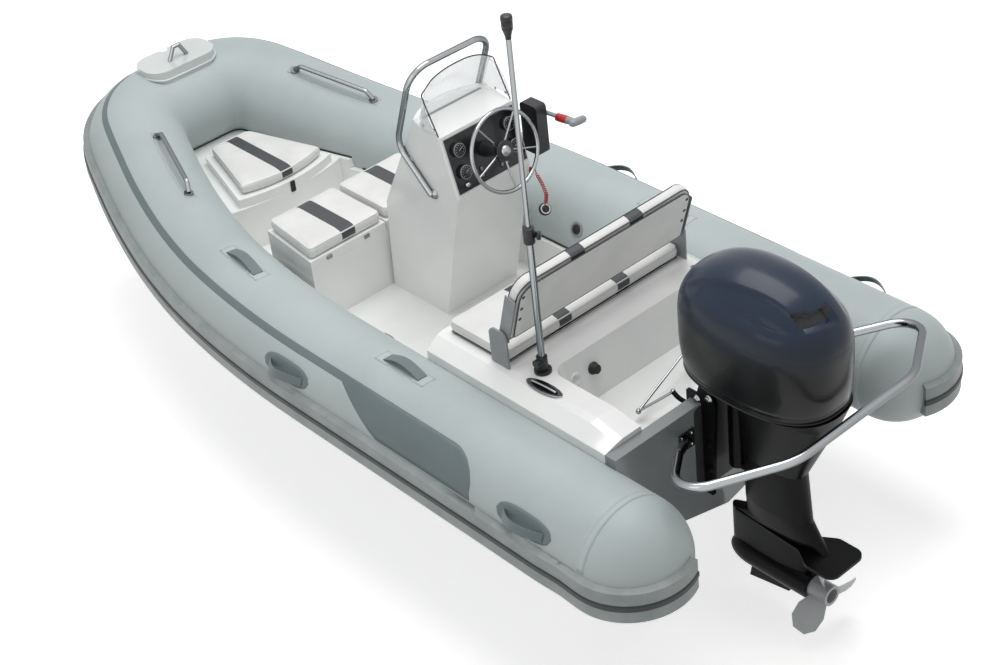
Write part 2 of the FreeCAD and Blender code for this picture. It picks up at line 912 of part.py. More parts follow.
def make_gauges():
    out = dash_axes()[2]
    width = console_port - console_starboard
    lift = dash_plate + seat_gap
    dials = []
    for across, up in gauge_shares:
        centre = on_dash(console_starboard + width * across, up, lift)
        dials.append(Part.makeCylinder(gauge_radius, gauge_depth, centre, out))
    return Part.makeCompound(dials)


def screen_curve(z, side_x, corner_x, fore_x, grow):
    """U-shaped plan of the windscreen at one height, and its two ends."""
    middle = (console_port + console_starboard) / 2
    half = (console_port - console_starboard) / 2 - screen_inset + grow
    corner = half - screen_corner_inset
    a, b = [V(stern + side_x, middle + side * half, z) for side in (1, -1)]
    bends = [V(stern + corner_x + grow, middle + side * corner, z) for side in (1, -1)]
    curve = Part.BSplineCurve()
    curve.interpolate([a, bends[0], V(stern + fore_x + grow, middle, z), bends[1], b])
    return curve, a, b


def screen_arch():
    """Block under the arched top edge of the windscreen."""
    middle = (console_port + console_starboard) / 2
    half = (console_port - console_starboard) / 2 + over * 4
    start, end = stern + screen_top_side_x - over, stern + console_front_x + console_bulge + over
    sides = [V(start, middle + side * half, screen_side_z) for side in (1, -1)]
    arch = Part.Arc(sides[0], V(start, middle, screen_top_z), sides[1]).toShape()
    feet = [V(start, p.y, sole_height) for p in sides]
    edges = [arch, Part.LineSegment(sides[1], feet[1]).toShape(),
             Part.LineSegment(feet[1], feet[0]).toShape(),
             Part.LineSegment(feet[0], sides[0]).toShape()]
    return Part.Face(Part.Wire(edges)).extrude(V(end - start, 0, 0))


def screen_solid():
    """Raked windscreen whose wings sweep down to the top corners of the dash."""
    front = console_front_x + console_bulge - screen_fore_gap
    levels = ((dash_top_z, screen_base_side_x, screen_base_corner_x, front),
              (screen_top_z, screen_top_side_x, screen_top_corner_x, screen_top_fore_x))
    rings = []
    for level in levels:
        outer, a, b = screen_curve(*level, 0)
        inner, c, d = screen_curve(*level, -screen_thickness)
        rings.append(Part.Wire([outer.toShape(), Part.LineSegment(b, d).toShape(),
                                inner.toShape(), Part.LineSegment(c, a).toShape()]))
    nose = console_front_x + console_bulge + over
    seat = [(screen_top_side_x, sole_height), (screen_top_side_x, dash_top_z + seat_gap),
            (dash_top_x, dash_top_z + seat_gap), (console_front_x - over * 2, console_front_z + seat_gap),
            (nose, console_front_z + seat_gap), (nose, sole_height)]
    aft = [(wing_low_x, dash_top_z), (wing_mid_x, wing_mid_z), (wing_high_x, wing_high_z),
           (wing_top_x, screen_top_z + over), (screen_top_side_x - over, screen_top_z + over),
           (screen_top_side_x - over, dash_top_z)]
    low, high = console_starboard - over * 4, console_port + over * 4
    solid = loft(rings, True).cut(side_profile(seat, low, high)).cut(side_profile(aft, low, high))
    return solid.common(screen_arch())


def bent_tube(points, radius, bend_radius):
    """Round tube along straight runs joined by arcs, one radius or one for each bend."""
    path = rounded_path(points, bend_radius)
    start = path.Edges[0]
    tangent = start.tangentAt(start.FirstParameter)
    profile = Part.Wire([Part.Circle(points[0], tangent, radius).toShape()])
    return path.makePipeShell([profile], True, False)


def rounded_path(points, bend_radius):
    edges = []
    last = points[0]
    radii = bend_radius if isinstance(bend_radius, list) else [bend_radius] * (len(points) - 2)
    for before, corner, after, bend_radius in zip(points, points[1:], points[2:], radii):
        into = (before - corner).normalize()
        away = (after - corner).normalize()
        turn = math.pi - into.getAngle(away)
        cut = bend_radius * math.tan(turn / 2)
        a, b = corner + into * cut, corner + away * cut
        half = (into + away).normalize()
        centre = corner + half * (bend_radius / math.cos(turn / 2))
        middle = centre - half * bend_radius
        edges.append(Part.LineSegment(last, a).toShape())
        edges.append(Part.Arc(a, middle, b).toShape())
        last = b
    edges.append(Part.LineSegment(last, points[-1]).toShape())
    return Part.Wire(edges)


def make_rail():
    """Hand rail that rises from both sides of the console and crosses over it."""
    middle = (console_port + console_starboard) / 2
    outer = console_port + rail_radius + seat_gap
    half = outer - middle
    points = []
    for side in (1, -1):
        y = middle + side * half
        leg = [V(stern + rail_foot_x, y, rail_foot_z), V(stern + rail_bulge_x, y, rail_bulge_z),
               V(stern + rail_top_x, y, rail_top_z)]
        points += leg if side == 1 else leg[::-1]
    return bent_tube(points, rail_radius, rail_bend)


def wheel_axis():
    out = dash_axes()[2]
    middle = (console_port + console_starboard) / 2
    base = on_dash(middle, wheel_dash_height, dash_plate + seat_gap)
    return base, out


def make_column():
    base, out = wheel_axis()
    length = wheel_stand_off - wheel_hub_depth - seat_gap
    return Part.makeCone(column_radius * 1.5, column_radius, length, base, out)


def make_wheel():
    base, out = wheel_axis()
    centre = base + out * wheel_stand_off
    rim = Part.makeTorus(wheel_radius, wheel_rim, centre, out)
    hub_base = centre - out * wheel_hub_depth
    shapes = [rim, Part.makeCylinder(wheel_hub_radius, wheel_hub_depth, hub_base, out)]
    up = dash_axes()[1]
    across = out.cross(up)
    for i in range(spoke_count):
        a = 2 * math.pi * i / spoke_count - math.pi / 2
        direction = up * math.sin(a) + across * math.cos(a)
        start = hub_base + out * (wheel_hub_depth / 2) + direction * (wheel_hub_radius / 2)
        end = centre + direction * wheel_radius
        shapes.append(rod(start, end, spoke_radius))
    return fused(shapes)


def make_control():
    y1 = console_starboard - seat_gap
    y0 = y1 - control_depth
    case = box(control_aft, control_fore, y0, y1, control_low, control_high)
    long_edges = [e for e in case.Edges if e.BoundBox.YLength > control_depth / 2]
    case = case.makeFillet(control_depth / 3, long_edges)
    hub = V(stern + (control_aft + control_fore) / 2, y0 - seat_gap, control_high - control_depth)
    boss = Part.makeCylinder(control_depth / 2, control_depth / 3, hub, V(0, -1, 0))
    tip = hub + V(-lever_length, -control_depth / 3, lever_radius)
    arm = rod(hub + V(0, -control_depth / 6, 0), tip, lever_radius)
    grip = rod(tip - (tip - hub).normalize() * lever_length * 0.4, tip, lever_radius * 1.7)
    return case, fused([boss, arm, grip])


def make_pole():
    """Base, lower tube with its clamp, and the upper tube with the lamp."""
    foot = V(stern + pole_x, pole_y, deck_height)
    base = Part.makeCylinder(pole_base_radius, pole_base_height / 3, foot)
    socket_low = deck_height + pole_base_height / 3
    socket = Part.makeCylinder(pole_low_radius * 1.6, pole_base_height * 1.6, V(foot.x, foot.y, socket_low))
    knob_z = socket_low + pole_base_height
    knob = Part.makeCylinder(pole_low_radius * 1.3, pole_base_radius, V(foot.x, foot.y, knob_z),
                             V(0, 1, 0))
    tube_low = socket_low + pole_base_height * 1.6
    bore = pole_high_radius + pole_bore_gap
    lower = Part.makeCylinder(pole_low_radius, pole_clamp_low - tube_low, V(foot.x, foot.y, tube_low))
    clamp = Part.makeCylinder(pole_clamp_radius, pole_clamp_high - pole_clamp_low,
                              V(foot.x, foot.y, pole_clamp_low))
    hole = Part.makeCylinder(bore, pole_clamp_high, V(foot.x, foot.y, tube_low + over))
    upper_low = pole_clamp_low - pole_stop_length
    upper = Part.makeCylinder(pole_high_radius, pole_top - upper_low, V(foot.x, foot.y, upper_low))
    lamp = Part.makeCylinder(lamp_radius, lamp_height, V(foot.x, foot.y, pole_top))
    lamp = lamp.makeFillet(lamp_radius / 3, [e for e in lamp.Edges if e.Length > lamp_radius * 4])
    return base.fuse(socket).fuse(knob), lower.fuse(clamp).cut(hole), upper, lamp


def make_tow_bar():
    """U-shaped tube round the motor, rising aft from its two feet on the transom."""
    back = transom_aft - seat_gap
    port = [(back - bar_plate, bar_foot_half, bar_foot_height),
            (bar_knee_x, bar_knee_half, bar_knee_height),
            (bar_corner_x, bar_corner_half, bar_corner_height),
            (bar_aft_x, bar_aft_half, bar_aft_height)]
    points = [V(stern + x, y, z) for x, y, z in port]
    points[0] = points[0] + (points[0] - points[1]).normalize() * bar_run_on
    points += [V(p.x, -p.y, p.z) for p in reversed(points)]
    bends = [bar_knee_bend, bar_corner_bend, bar_aft_bend]
    inside = box(back, back + transom_aft, -bar_knee_half, bar_knee_half, 0, bar_knee_height)
    shapes = [bent_tube(points, bar_radius, bends + bends[::-1]).cut(inside)]
    half = bar_plate_size / 2
    for side in (1, -1):
        y = side * bar_foot_half
        shapes.append(box(back - bar_plate, back, y - half, y + half,
                          bar_foot_height - half, bar_foot_height + half))
    return fused(shapes)


# Cowl plan sizes by height: share of height, aft end, fore end and half width
cowl_shares = ((0.0, 0.93, 0.95, 0.95), (0.20, 0.99, 1.0, 1.0), (0.45, 1.0, 1.0, 1.0),
               (0.62, 0.95, 0.97, 0.96), (0.80, 0.80, 0.84, 0.84), (0.93, 0.55, 0.58, 0.55),
               (1.0, 0.25, 0.28, 0.25))


def oval(x0, x1, half, z):
    """Closed oval plan, fuller than an ellipse."""
    middle, reach = (x0 + x1) / 2, (x1 - x0) / 2
    points = []
    for i in range(16):
        a = 2 * math.pi * i / 16
        c, s = math.cos(a), math.sin(a)
        x = math.copysign(abs(c) ** 0.8, c)
        y = math.copysign(abs(s) ** 0.8, s)
        points.append(V(stern + middle + reach * x, half * y, z))
    curve = Part.BSplineCurve()
    curve.interpolate(points, PeriodicFlag=True)
    return Part.Wire([curve.toShape()])


def cowl_body(skin):
    middle = (cowl_aft + cowl_fore) / 2
    wires = []
    for height, aft, fore, half in cowl_shares:
        low = cowl_low + skin
        z = low + (cowl_top - skin - low) * height
        reach_aft = (middle - cowl_aft) * aft - skin
        reach_fore = (cowl_fore - middle) * fore - skin
        wires.append(oval(middle - reach_aft, middle + reach_fore, cowl_half * half - skin, z))
    return loft(wires)


def make_cowl():
    """Upper and lower halves of the hollow engine cover, parted at the seam."""
    shell = cowl_body(0).cut(cowl_body(cowl_skin))
    far = cowl_fore - cowl_aft
    upper = box(cowl_aft - far, cowl_fore + far, -far, far, cowl_seam, cowl_top + far)
    lower = box(cowl_aft - far, cowl_fore + far, -far, far, cowl_low - far, cowl_seam)
    return shell.common(upper), shell.common(lower)


def make_powerhead():
    middle = (cowl_aft + cowl_fore) / 2
    low = cowl_low + cowl_skin
    return box(middle - power_length / 2, middle + power_length / 2, -power_width / 2, power_width / 2,
               low, low + power_height)


def make_pan():
    """Tray under the cowl that narrows down to the leg."""
    top = oval(pan_aft, pan_fore, pan_half, cowl_low)
    low = oval(throat_aft, leg_fore, throat_half, cowl_low - pan_drop)
    return loft([low, top])


def make_leg():
    """Drive-shaft housing from the tray to the plate, with its two yokes on the barrel."""
    wires = [oval(throat_aft, leg_fore, throat_half, cowl_low - pan_drop),
             oval(leg_neck_aft, leg_fore, leg_half, leg_neck_z),
             oval(leg_bend_aft, leg_fore, (leg_half + leg_low_half) / 2, leg_bend_z),
             oval(leg_low_aft, leg_fore, leg_low_half, leg_low)]
    axis = stern + swivel_x
    upper = Part.makeCylinder(swivel_radius, cowl_low - swivel_high - seat_gap,
                              V(axis, 0, swivel_high + seat_gap))
    low = swivel_low - seat_gap - yoke_depth
    lower = Part.makeCylinder(swivel_radius, yoke_depth, V(axis, 0, low))
    web = box(leg_fore - yoke_depth * 2, swivel_x, -yoke_half, yoke_half, low, low + yoke_depth)
    return fused([loft(wires, True), make_pan(), upper, lower, web])


def make_plate():
    """Flat plate over the propeller, with rounded aft corners."""
    half = [(plate_aft, plate_half), (plate_wide_to, plate_half), (plate_neck_x, plate_neck_half),
            (plate_fore, strut_half)]
    ring = half + [(x, -y) for x, y in reversed(half)]
    plate = face_of([V(stern + x, y, plate_height) for x, y in ring])
    plate = plate.extrude(V(0, 0, -plate_thickness))
    corners = [e for e in plate.Edges if e.BoundBox.ZLength > plate_thickness / 2
               and e.CenterOfMass.x < stern + gear_tail - over]
    return plate.makeFillet(plate_corner, corners)


def make_gearcase():
    """Plate, strut, torpedo-shaped gear housing and skeg."""
    upper = loft([oval(leg_low_aft, leg_fore, leg_low_half, leg_low),
                  oval(leg_plate_aft, strut_fore, leg_plate_half, plate_height)])
    strut = loft([oval(strut_aft, strut_fore, leg_plate_half, plate_height),
                  oval(strut_aft, strut_fore, strut_half, shaft_height)])
    nose_length = gear_radius * 2
    barrel_length = gear_nose - nose_length - gear_tail
    start = V(stern + gear_tail, 0, shaft_height)
    barrel = Part.makeCylinder(gear_radius, barrel_length, start, V(1, 0, 0))
    nose = Part.makeSphere(gear_radius, V(0, 0, 0), V(1, 0, 0), 0, 90, 360)
    stretch = FreeCAD.Matrix()
    stretch.scale(nose_length / gear_radius, 1, 1)
    nose = nose.transformGeometry(stretch)
    nose.translate(start + V(barrel_length, 0, 0))
    fin = [(gear_tail + gear_radius, shaft_height), (skeg_aft, skeg_aft_low), (skeg_fore, skeg_low),
           (gear_nose - nose_length, shaft_height)]
    skeg = side_profile(fin, -skeg_thickness / 2, skeg_thickness / 2)
    return fused([make_plate(), upper, strut, barrel, nose, skeg])


def make_propeller():
    tail = stern + gear_tail - prop_gap
    centre = V(tail - prop_hub_length * 0.55, 0, shaft_height)
    hub = Part.makeCylinder(prop_hub_radius, prop_hub_length, V(tail, 0, shaft_height), V(-1, 0, 0))
    bore = Part.makeCylinder(prop_hub_radius * 0.7, prop_hub_length / 3,
                             V(tail - prop_hub_length, 0, shaft_height), V(1, 0, 0))
    shapes = [hub.cut(bore)]
    for i in range(prop_blades):
        blade = blade_solid(centre)
        blade.rotate(centre, V(1, 0, 0), 360.0 * i / prop_blades + prop_turn)
        shapes.append(blade)
    return fused(shapes)


def blade_solid(centre):
    """Twisted blade that stands up from the hub."""
    wires = []
    blade_shares = ((0.22, 0.42, -56.0), (0.50, 0.70, -38.0), (0.80, 0.74, -28.0), (1.0, 0.36, -24.0))
    for reach, chord, pitch in blade_shares:
        z = prop_radius * reach
        half = prop_radius * chord / 2
        thick = prop_blade_thickness / 2
        a = math.radians(pitch)
        along = V(math.sin(a), math.cos(a), 0)
        normal = V(math.cos(a), -math.sin(a), 0)
        base = centre + V(0, 0, z)
        ring = [base + along * half, base + normal * thick, base - along * half, base - normal * thick]
        wires.append(Part.makePolygon(ring + [ring[0]]))
    return loft(wires, True)


def make_clamp():
    """Clamp bracket: two plates hooked over the transom, and the tilt tube."""
    aft = transom_aft - seat_gap
    fore = transom_aft + transom_thickness + seat_gap
    over_deck = deck_edge_height + seat_gap
    outline = [(aft, clamp_low), (aft, over_deck), (fore, over_deck), (fore, clamp_hook_low),
               (fore + clamp_hook, clamp_hook_low), (fore + clamp_hook, clamp_hook_top),
               (tilt_x + clamp_crown * 3 / 2, clamp_hook_top), (tilt_x + clamp_crown, tilt_z + clamp_crown),
               (tilt_x - clamp_crown, tilt_z + clamp_crown), (clamp_aft, tilt_z - clamp_crown),
               (clamp_aft + clamp_crown, clamp_low)]
    shapes = []
    for side in (-1, 1):
        edges = sorted((side * clamp_half, side * (clamp_half - clamp_plate)))
        shapes.append(side_profile(outline, edges[0], edges[1]))
    shapes.append(Part.makeCylinder(tilt_tube_radius, 2 * clamp_half,
                                    V(stern + tilt_x, -clamp_half, tilt_z), V(0, 1, 0)))
    return fused(shapes)


def make_swivel():
    """Swivel bracket hung on the tilt tube, with the upright steering barrel."""
    half = clamp_half - clamp_plate - arm_clearance
    ring = Part.makeCylinder(tilt_tube_radius * 2, 2 * half, V(stern + tilt_x, -half, tilt_z), V(0, 1, 0))
    barrel = Part.makeCylinder(swivel_radius, swivel_high - swivel_low, V(stern + swivel_x, 0, swivel_low))
    hole = Part.makeCylinder(tilt_tube_radius + pole_bore_gap, 4 * half,
                             V(stern + tilt_x, -2 * half, tilt_z), V(0, 1, 0))
    return ring.fuse(barrel).cut(hole)


def handle_rods(frames_s, angle, radius, stand):
    """Loop of rod on the tube's skin from one station to another."""
    points = []
    for s, lift in frames_s:
        c, ahead, outward, up = tube_frame(s)
        direction = outward * math.cos(angle) + up * math.sin(angle)
        points.append(c + direction * (tube_radius + lift))
    return bent_tube(points, radius, stand / 3)


def make_bow_handle():
    a = tube_s(bow_handle_aft)
    b = tube_s(bow_handle_fore)
    run = (b - a) / 12
    angle = math.radians(bow_handle_angle)
    route = [(a, handle_rod), (a + run, handle_stand), (b - run, handle_stand), (b, handle_rod)]
    rods = handle_rods(route, angle, handle_rod, handle_stand)
    pads = []
    for s in (a, b):
        c, ahead, outward, up = tube_frame(s)
        direction = outward * math.cos(angle) + up * math.sin(angle)
        pads.append(Part.makeCylinder(handle_rod * 2, handle_rod, c + direction * tube_radius, direction))
    tube = tube_side(tube_radius + seat_gap, seat_gap)
    return fused([rods] + pads).cut(tube)


def tube_s(d):
    """Distance along the tube whose section lies d forward of the stern."""
    low, high = 0.0, half_length
    for _ in range(40):
        mid = (low + high) / 2
        if sheer(plan(mid)[0])[0] < d:
            low = mid
        else:
            high = mid
    return low


def strap(s0, s1, angle, stand, width, thickness):
    """Arched strap on the tube's skin, made as one bent band."""
    sections = []
    for share in steps(0, 1, 8):
        c, ahead, outward, up = tube_frame(s0 + (s1 - s0) * share)
        direction = outward * math.cos(angle) + up * math.sin(angle)
        across = ahead.cross(direction)
        lift = seat_gap + stand * math.sin(math.pi * share)
        base = c + direction * (tube_radius + lift)
        ring = [base + across * (width / 2), base - across * (width / 2),
                base - across * (width / 2) + direction * thickness,
                base + across * (width / 2) + direction * thickness]
        sections.append(Part.makePolygon(ring + [ring[0]]))
    return loft(sections)


def both(shape):
    return Part.makeCompound([shape, mirror_y(shape)])


def make_straps():
    angle = math.radians(strap_angle)
    bands = [strap(tube_s(a), tube_s(b), angle, strap_height, strap_width, strap_thickness)
             for a, b in strap_places]
    return Part.makeCompound([s for band in bands for s in (band, mirror_y(band))])


def make_flank_handles():
    bands = [strap(tube_s(a), tube_s(b), math.radians(flank_angle), flank_stand, flank_web * 6, flank_web)
             for a, b in flank_places]
    return Part.makeCompound([s for band in bands for s in (band, mirror_y(band))])


def main():
    os.makedirs("parts", exist_ok=True)
    tubes = tube_clearance()
    port = tube_side(tube_radius)
    write("tube_port", port)
    write("tube_starboard", mirror_y(port))
    write("tube_bow", tube_bow(tube_radius))
    write("rub_strake", make_strake(tubes))
    write("rub_insert", make_insert())
    write("hull", make_hull(tubes))
    write("transom", make_transom(tubes))
    write("aft_deck", make_aft_deck(tubes))
    write("bow_locker", make_bow_locker(tubes))
    board, pad = make_bench()
    write("bench_board", board)
    write("bench_cushion", pad)
    panel, back_cushion = make_backrest()
    write("backrest_panel", panel)
    write("backrest_cushion", back_cushion)
    write("backrest_frame", make_back_frame())
    write("bench_arms", make_arms())
    write("front_seat_box", make_front_box(tubes))
    for side, name in ((1, "port"), (-1, "starboard")):
        lid, pad = make_front_lid(side)
        write("front_lid_" + name, lid)
        write("front_cushion_" + name, pad)
    lid, pad = make_bow_lid()
    write("bow_lid", lid)
    write("bow_cushion", pad)
    write("bow_step", make_step())
    write("bow_eye", make_eye())
    write("console", make_console())
    write("dash_panel", make_dash())
    write("gauges", make_gauges())
    write("windscreen", screen_solid())
    write("console_rail", make_rail())
    write("steering_column", make_column())
    write("steering_wheel", make_wheel())
    case, lever = make_control()
    write("control_box", case)
    write("control_lever", lever)
    names = ("pole_base", "pole_lower", "pole_upper", "pole_lamp")
    for name, shape in zip(names, make_pole()):
        write(name, shape)
    write("tow_bar", make_tow_bar())
    cap, cover = make_cowl()
    write("cowl_cap", cap)
    write("cowl_cover", cover)
    write("powerhead", make_powerhead())
    write("motor_leg", make_leg())
    write("gearcase", make_gearcase())
    write("propeller", make_propeller())
    write("clamp_bracket", make_clamp())
    write("swivel_bracket", make_swivel())
    write("bow_handles", both(make_bow_handle()))
    write("tube_straps", make_straps())
    write("flank_handles", make_flank_handles())


main()
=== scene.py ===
"""Rigid inflatable boat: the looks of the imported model, piece by piece."""

import json
import logging
import math
from dataclasses import dataclass, field
from enum import Enum
from typing import Callable, Iterable, Sequence

import bmesh
import bpy
from mathutils import Matrix, Vector
from mathutils.bvhtree import BVHTree


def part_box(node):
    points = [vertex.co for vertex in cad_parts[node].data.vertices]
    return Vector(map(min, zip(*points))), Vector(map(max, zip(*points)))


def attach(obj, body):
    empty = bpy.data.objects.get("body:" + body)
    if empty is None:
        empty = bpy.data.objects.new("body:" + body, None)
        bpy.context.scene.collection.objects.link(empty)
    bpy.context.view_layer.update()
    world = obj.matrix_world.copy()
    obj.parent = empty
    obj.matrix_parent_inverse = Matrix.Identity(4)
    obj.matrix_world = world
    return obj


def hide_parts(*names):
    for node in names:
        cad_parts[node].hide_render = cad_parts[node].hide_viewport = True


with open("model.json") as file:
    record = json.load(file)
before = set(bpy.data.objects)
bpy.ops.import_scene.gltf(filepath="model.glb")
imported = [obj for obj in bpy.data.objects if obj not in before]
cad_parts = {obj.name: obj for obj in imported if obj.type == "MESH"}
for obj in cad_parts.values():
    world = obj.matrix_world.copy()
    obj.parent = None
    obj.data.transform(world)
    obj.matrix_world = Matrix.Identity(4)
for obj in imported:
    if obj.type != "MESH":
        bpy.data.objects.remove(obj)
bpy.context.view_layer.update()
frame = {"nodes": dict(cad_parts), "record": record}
LOG = logging.getLogger("boat")

Point = tuple[float, float, float]
Pair = tuple[float, float]
UP, AFT, AHEAD = Vector((0, 0, 1)), Vector((-1, 0, 0)), Vector((1, 0, 0))

# Forward place of the stern, and the backrest's hinge line and lean, as in the solids
STERN = -1.98323
BACK_FORWARD, BACK_UP = 1.066, 0.569
BACK_LEAN = math.radians(17.0)


def at(forward: float, port: float, up: float) -> Vector:
    """Turn a place measured forward from the stern into the boat's frame."""
    return Vector((STERN + forward, port, up))


def linear(code: str) -> tuple[float, float, float, float]:
    """Turn an sRGB hex colour into linear light.

    Args:
        code: Six hex digits, with or without a leading hash.

    Returns:
        Red, green, blue and an alpha of one.
    """
    digits = code.lstrip("#")
    parts = [int(digits[i:i + 2], 16) / 255 for i in (0, 2, 4)]
    light = [c / 12.92 if c <= 0.04045 else ((c + 0.055) / 1.055) ** 2.4 for c in parts]
    return (light[0], light[1], light[2], 1.0)


class Slot(Enum):
    """The record's material slots, by which the CAD nodes take their finish."""

    TUBE = "hypalon"
    STRAKE = "strake"
    INSERT = "strake_insert"
    DARK_FABRIC = "fabric_dark"
    GELCOAT = "grp"
    VINYL = "vinyl"
    STEEL = "steel"
    BLACK = "black_plastic"
    DASH = "dash"
    ACRYLIC = "acrylic"
    MOTOR = "motor_paint"
    ALLOY = "alloy"
    GREY = "grey_plastic"
    DIAL = "instrument"
    PROPELLER = "propeller_paint"


# Shader nodes


def fill(tree: bpy.types.NodeTree, node: bpy.types.Node, values: dict) -> None:
    """Link or set a node's inputs.

    Args:
        tree: The node tree.
        node: The node.
        values: Input name or number to a socket to link, or to a plain value.
    """
    for key, value in values.items():
        if isinstance(value, bpy.types.NodeSocket):
            tree.links.new(value, node.inputs[key])
        else:
            node.inputs[key].default_value = value


def add(tree: bpy.types.NodeTree, kind: str, links: dict | None = None, **settings) -> bpy.types.Node:
    """Add a shader node, set it up and link its inputs.

    Args:
        tree: The node tree.
        kind: The node's type name.
        links: Input name or number to a socket to link, or to a plain value.
        **settings: Attributes of the node.

    Returns:
        The new node.
    """
    made = tree.nodes.new(kind)
    for key, value in settings.items():
        setattr(made, key, value)
    fill(tree, made, links or {})
    return made


def fresh(name: str) -> tuple[bpy.types.Material, bpy.types.NodeTree, bpy.types.Node]:
    """Make an empty material with a Principled shader on its output.

    Args:
        name: Name of the finish.

    Returns:
        The material, its node tree and its shader.
    """
    material = bpy.data.materials.new(name)
    material.use_nodes = True
    tree = material.node_tree
    tree.nodes.clear()
    shader = add(tree, "ShaderNodeBsdfPrincipled")
    add(tree, "ShaderNodeOutputMaterial", {"Surface": shader.outputs["BSDF"]})
    return material, tree, shader


def texture_space(tree: bpy.types.NodeTree) -> bpy.types.NodeSocket:
    """Give the object's own coordinates, in metres."""
    return add(tree, "ShaderNodeTexCoord").outputs["Object"]


def ramp(tree: bpy.types.NodeTree, source: bpy.types.NodeSocket,
         stops: Sequence[tuple[float, object]]) -> bpy.types.NodeSocket:
    """Map a value through colour stops.

    Args:
        tree: The node tree.
        source: The value to map.
        stops: Pairs of place and colour, a colour being a hex code or a grey.

    Returns:
        The colour socket.
    """
    made = add(tree, "ShaderNodeValToRGB", {0: source})
    bar = made.color_ramp
    while len(bar.elements) < len(stops):
        bar.elements.new(0.5)
    for element, (place, colour) in zip(bar.elements, stops):
        element.position = place
        element.color = linear(colour) if isinstance(colour, str) else (colour, colour, colour, 1.0)
    return made.outputs["Color"]


@dataclass(frozen=True)
class CoatedFabric:
    """Polyester fabric coated with rubber, calendered matt, as boat tubes are."""

    name: str
    face: str
    shade: str
    weave_mm: float = 2.4
    roughness: float = 0.5

    def build(self) -> bpy.types.Material:
        """Make the material.

        Returns:
            The material.
        """
        material, tree, shader = fresh(self.name)
        space = texture_space(tree)
        # The cloth under the coat shows as a faint grain, drawn a little coarse so that it shows.
        grain = add(tree, "ShaderNodeTexNoise", {"Vector": space, "Scale": 1000 / self.weave_mm,
                                                 "Detail": 3.0})
        cloud = add(tree, "ShaderNodeTexNoise", {"Vector": space, "Scale": 2.2, "Detail": 5.0,
                                                 "Roughness": 0.6})
        colour = ramp(tree, cloud.outputs["Fac"], ((0.30, self.shade), (0.62, self.face)))
        rough = add(tree, "ShaderNodeMapRange", {"Value": cloud.outputs["Fac"],
                                                 "To Min": self.roughness - 0.06,
                                                 "To Max": self.roughness + 0.08})
        bump = add(tree, "ShaderNodeBump", {"Height": grain.outputs["Fac"], "Strength": 0.12,
                                            "Distance": 0.0006})
        fill(tree, shader, {"Base Color": colour, "Roughness": rough.outputs["Result"],
                            "Normal": bump.outputs["Normal"], "Specular IOR Level": 0.42,
                            "Sheen Weight": 0.08})
        return material


@dataclass(frozen=True)
class MouldedRubber:
    """Extruded rubber of a strake, smooth with faint drag lines and dust."""

    name: str
    face: str
    worn: str
    roughness: float = 0.5
    drag_mm: float = 2.381

    def build(self) -> bpy.types.Material:
        """Make the material.

        Returns:
            The material.
        """
        material, tree, shader = fresh(self.name)
        space = texture_space(tree)
        # Drag lines from the die, drawn coarser than real, and a film of dust leave it matt and broken.
        dust = add(tree, "ShaderNodeTexNoise", {"Vector": space, "Scale": 9.0, "Detail": 6.0,
                                                "Roughness": 0.65})
        fine = add(tree, "ShaderNodeTexNoise", {"Vector": space, "Scale": 1000 / self.drag_mm, "Detail": 2.0})
        colour = ramp(tree, dust.outputs["Fac"], ((0.38, self.face), (0.78, self.worn)))
        bump = add(tree, "ShaderNodeBump", {"Height": fine.outputs["Fac"], "Strength": 0.10,
                                            "Distance": 0.0005})
        fill(tree, shader, {"Base Color": colour, "Normal": bump.outputs["Normal"],
                            "Roughness": self.roughness})
        return material


@dataclass(frozen=True)
class Gelcoat:
    """Glass-fibre moulding with a polished gelcoat face."""

    name: str
    face: str
    shade: str
    roughness: float = 0.22
    grip: float = 0.0
    grip_mm: float = 5.882
    print_mm: float = 90.91

    def build(self) -> bpy.types.Material:
        """Make the material, with a moulded grip pattern where grip is above nought.

        Returns:
            The material.
        """
        material, tree, shader = fresh(self.name)
        space = texture_space(tree)
        cloud = add(tree, "ShaderNodeTexNoise", {"Vector": space, "Scale": 3.0, "Detail": 4.0})
        wave = add(tree, "ShaderNodeTexNoise", {"Vector": space, "Scale": 1000 / self.print_mm,
                                                "Detail": 1.0})
        colour = ramp(tree, cloud.outputs["Fac"], ((0.32, self.shade), (0.66, self.face)))
        # Slight print-through of the glass cloth keeps reflections from being dead flat.
        bump = add(tree, "ShaderNodeBump", {"Height": wave.outputs["Fac"], "Strength": 0.10,
                                            "Distance": 0.002})
        last = bump
        if self.grip:
            # The moulded grip breaks the gloss underfoot into a dull sparkle.
            cells = add(tree, "ShaderNodeTexVoronoi", {"Vector": space, "Scale": 1000 / self.grip_mm})
            last = add(tree, "ShaderNodeBump", {"Height": cells.outputs["Distance"], "Strength": self.grip,
                                                "Distance": 0.001, "Normal": bump.outputs["Normal"]})
        fill(tree, shader, {"Base Color": colour, "Normal": last.outputs["Normal"],
                            "Roughness": self.roughness, "Coat Weight": 0.35, "Coat Roughness": 0.08})
        return material


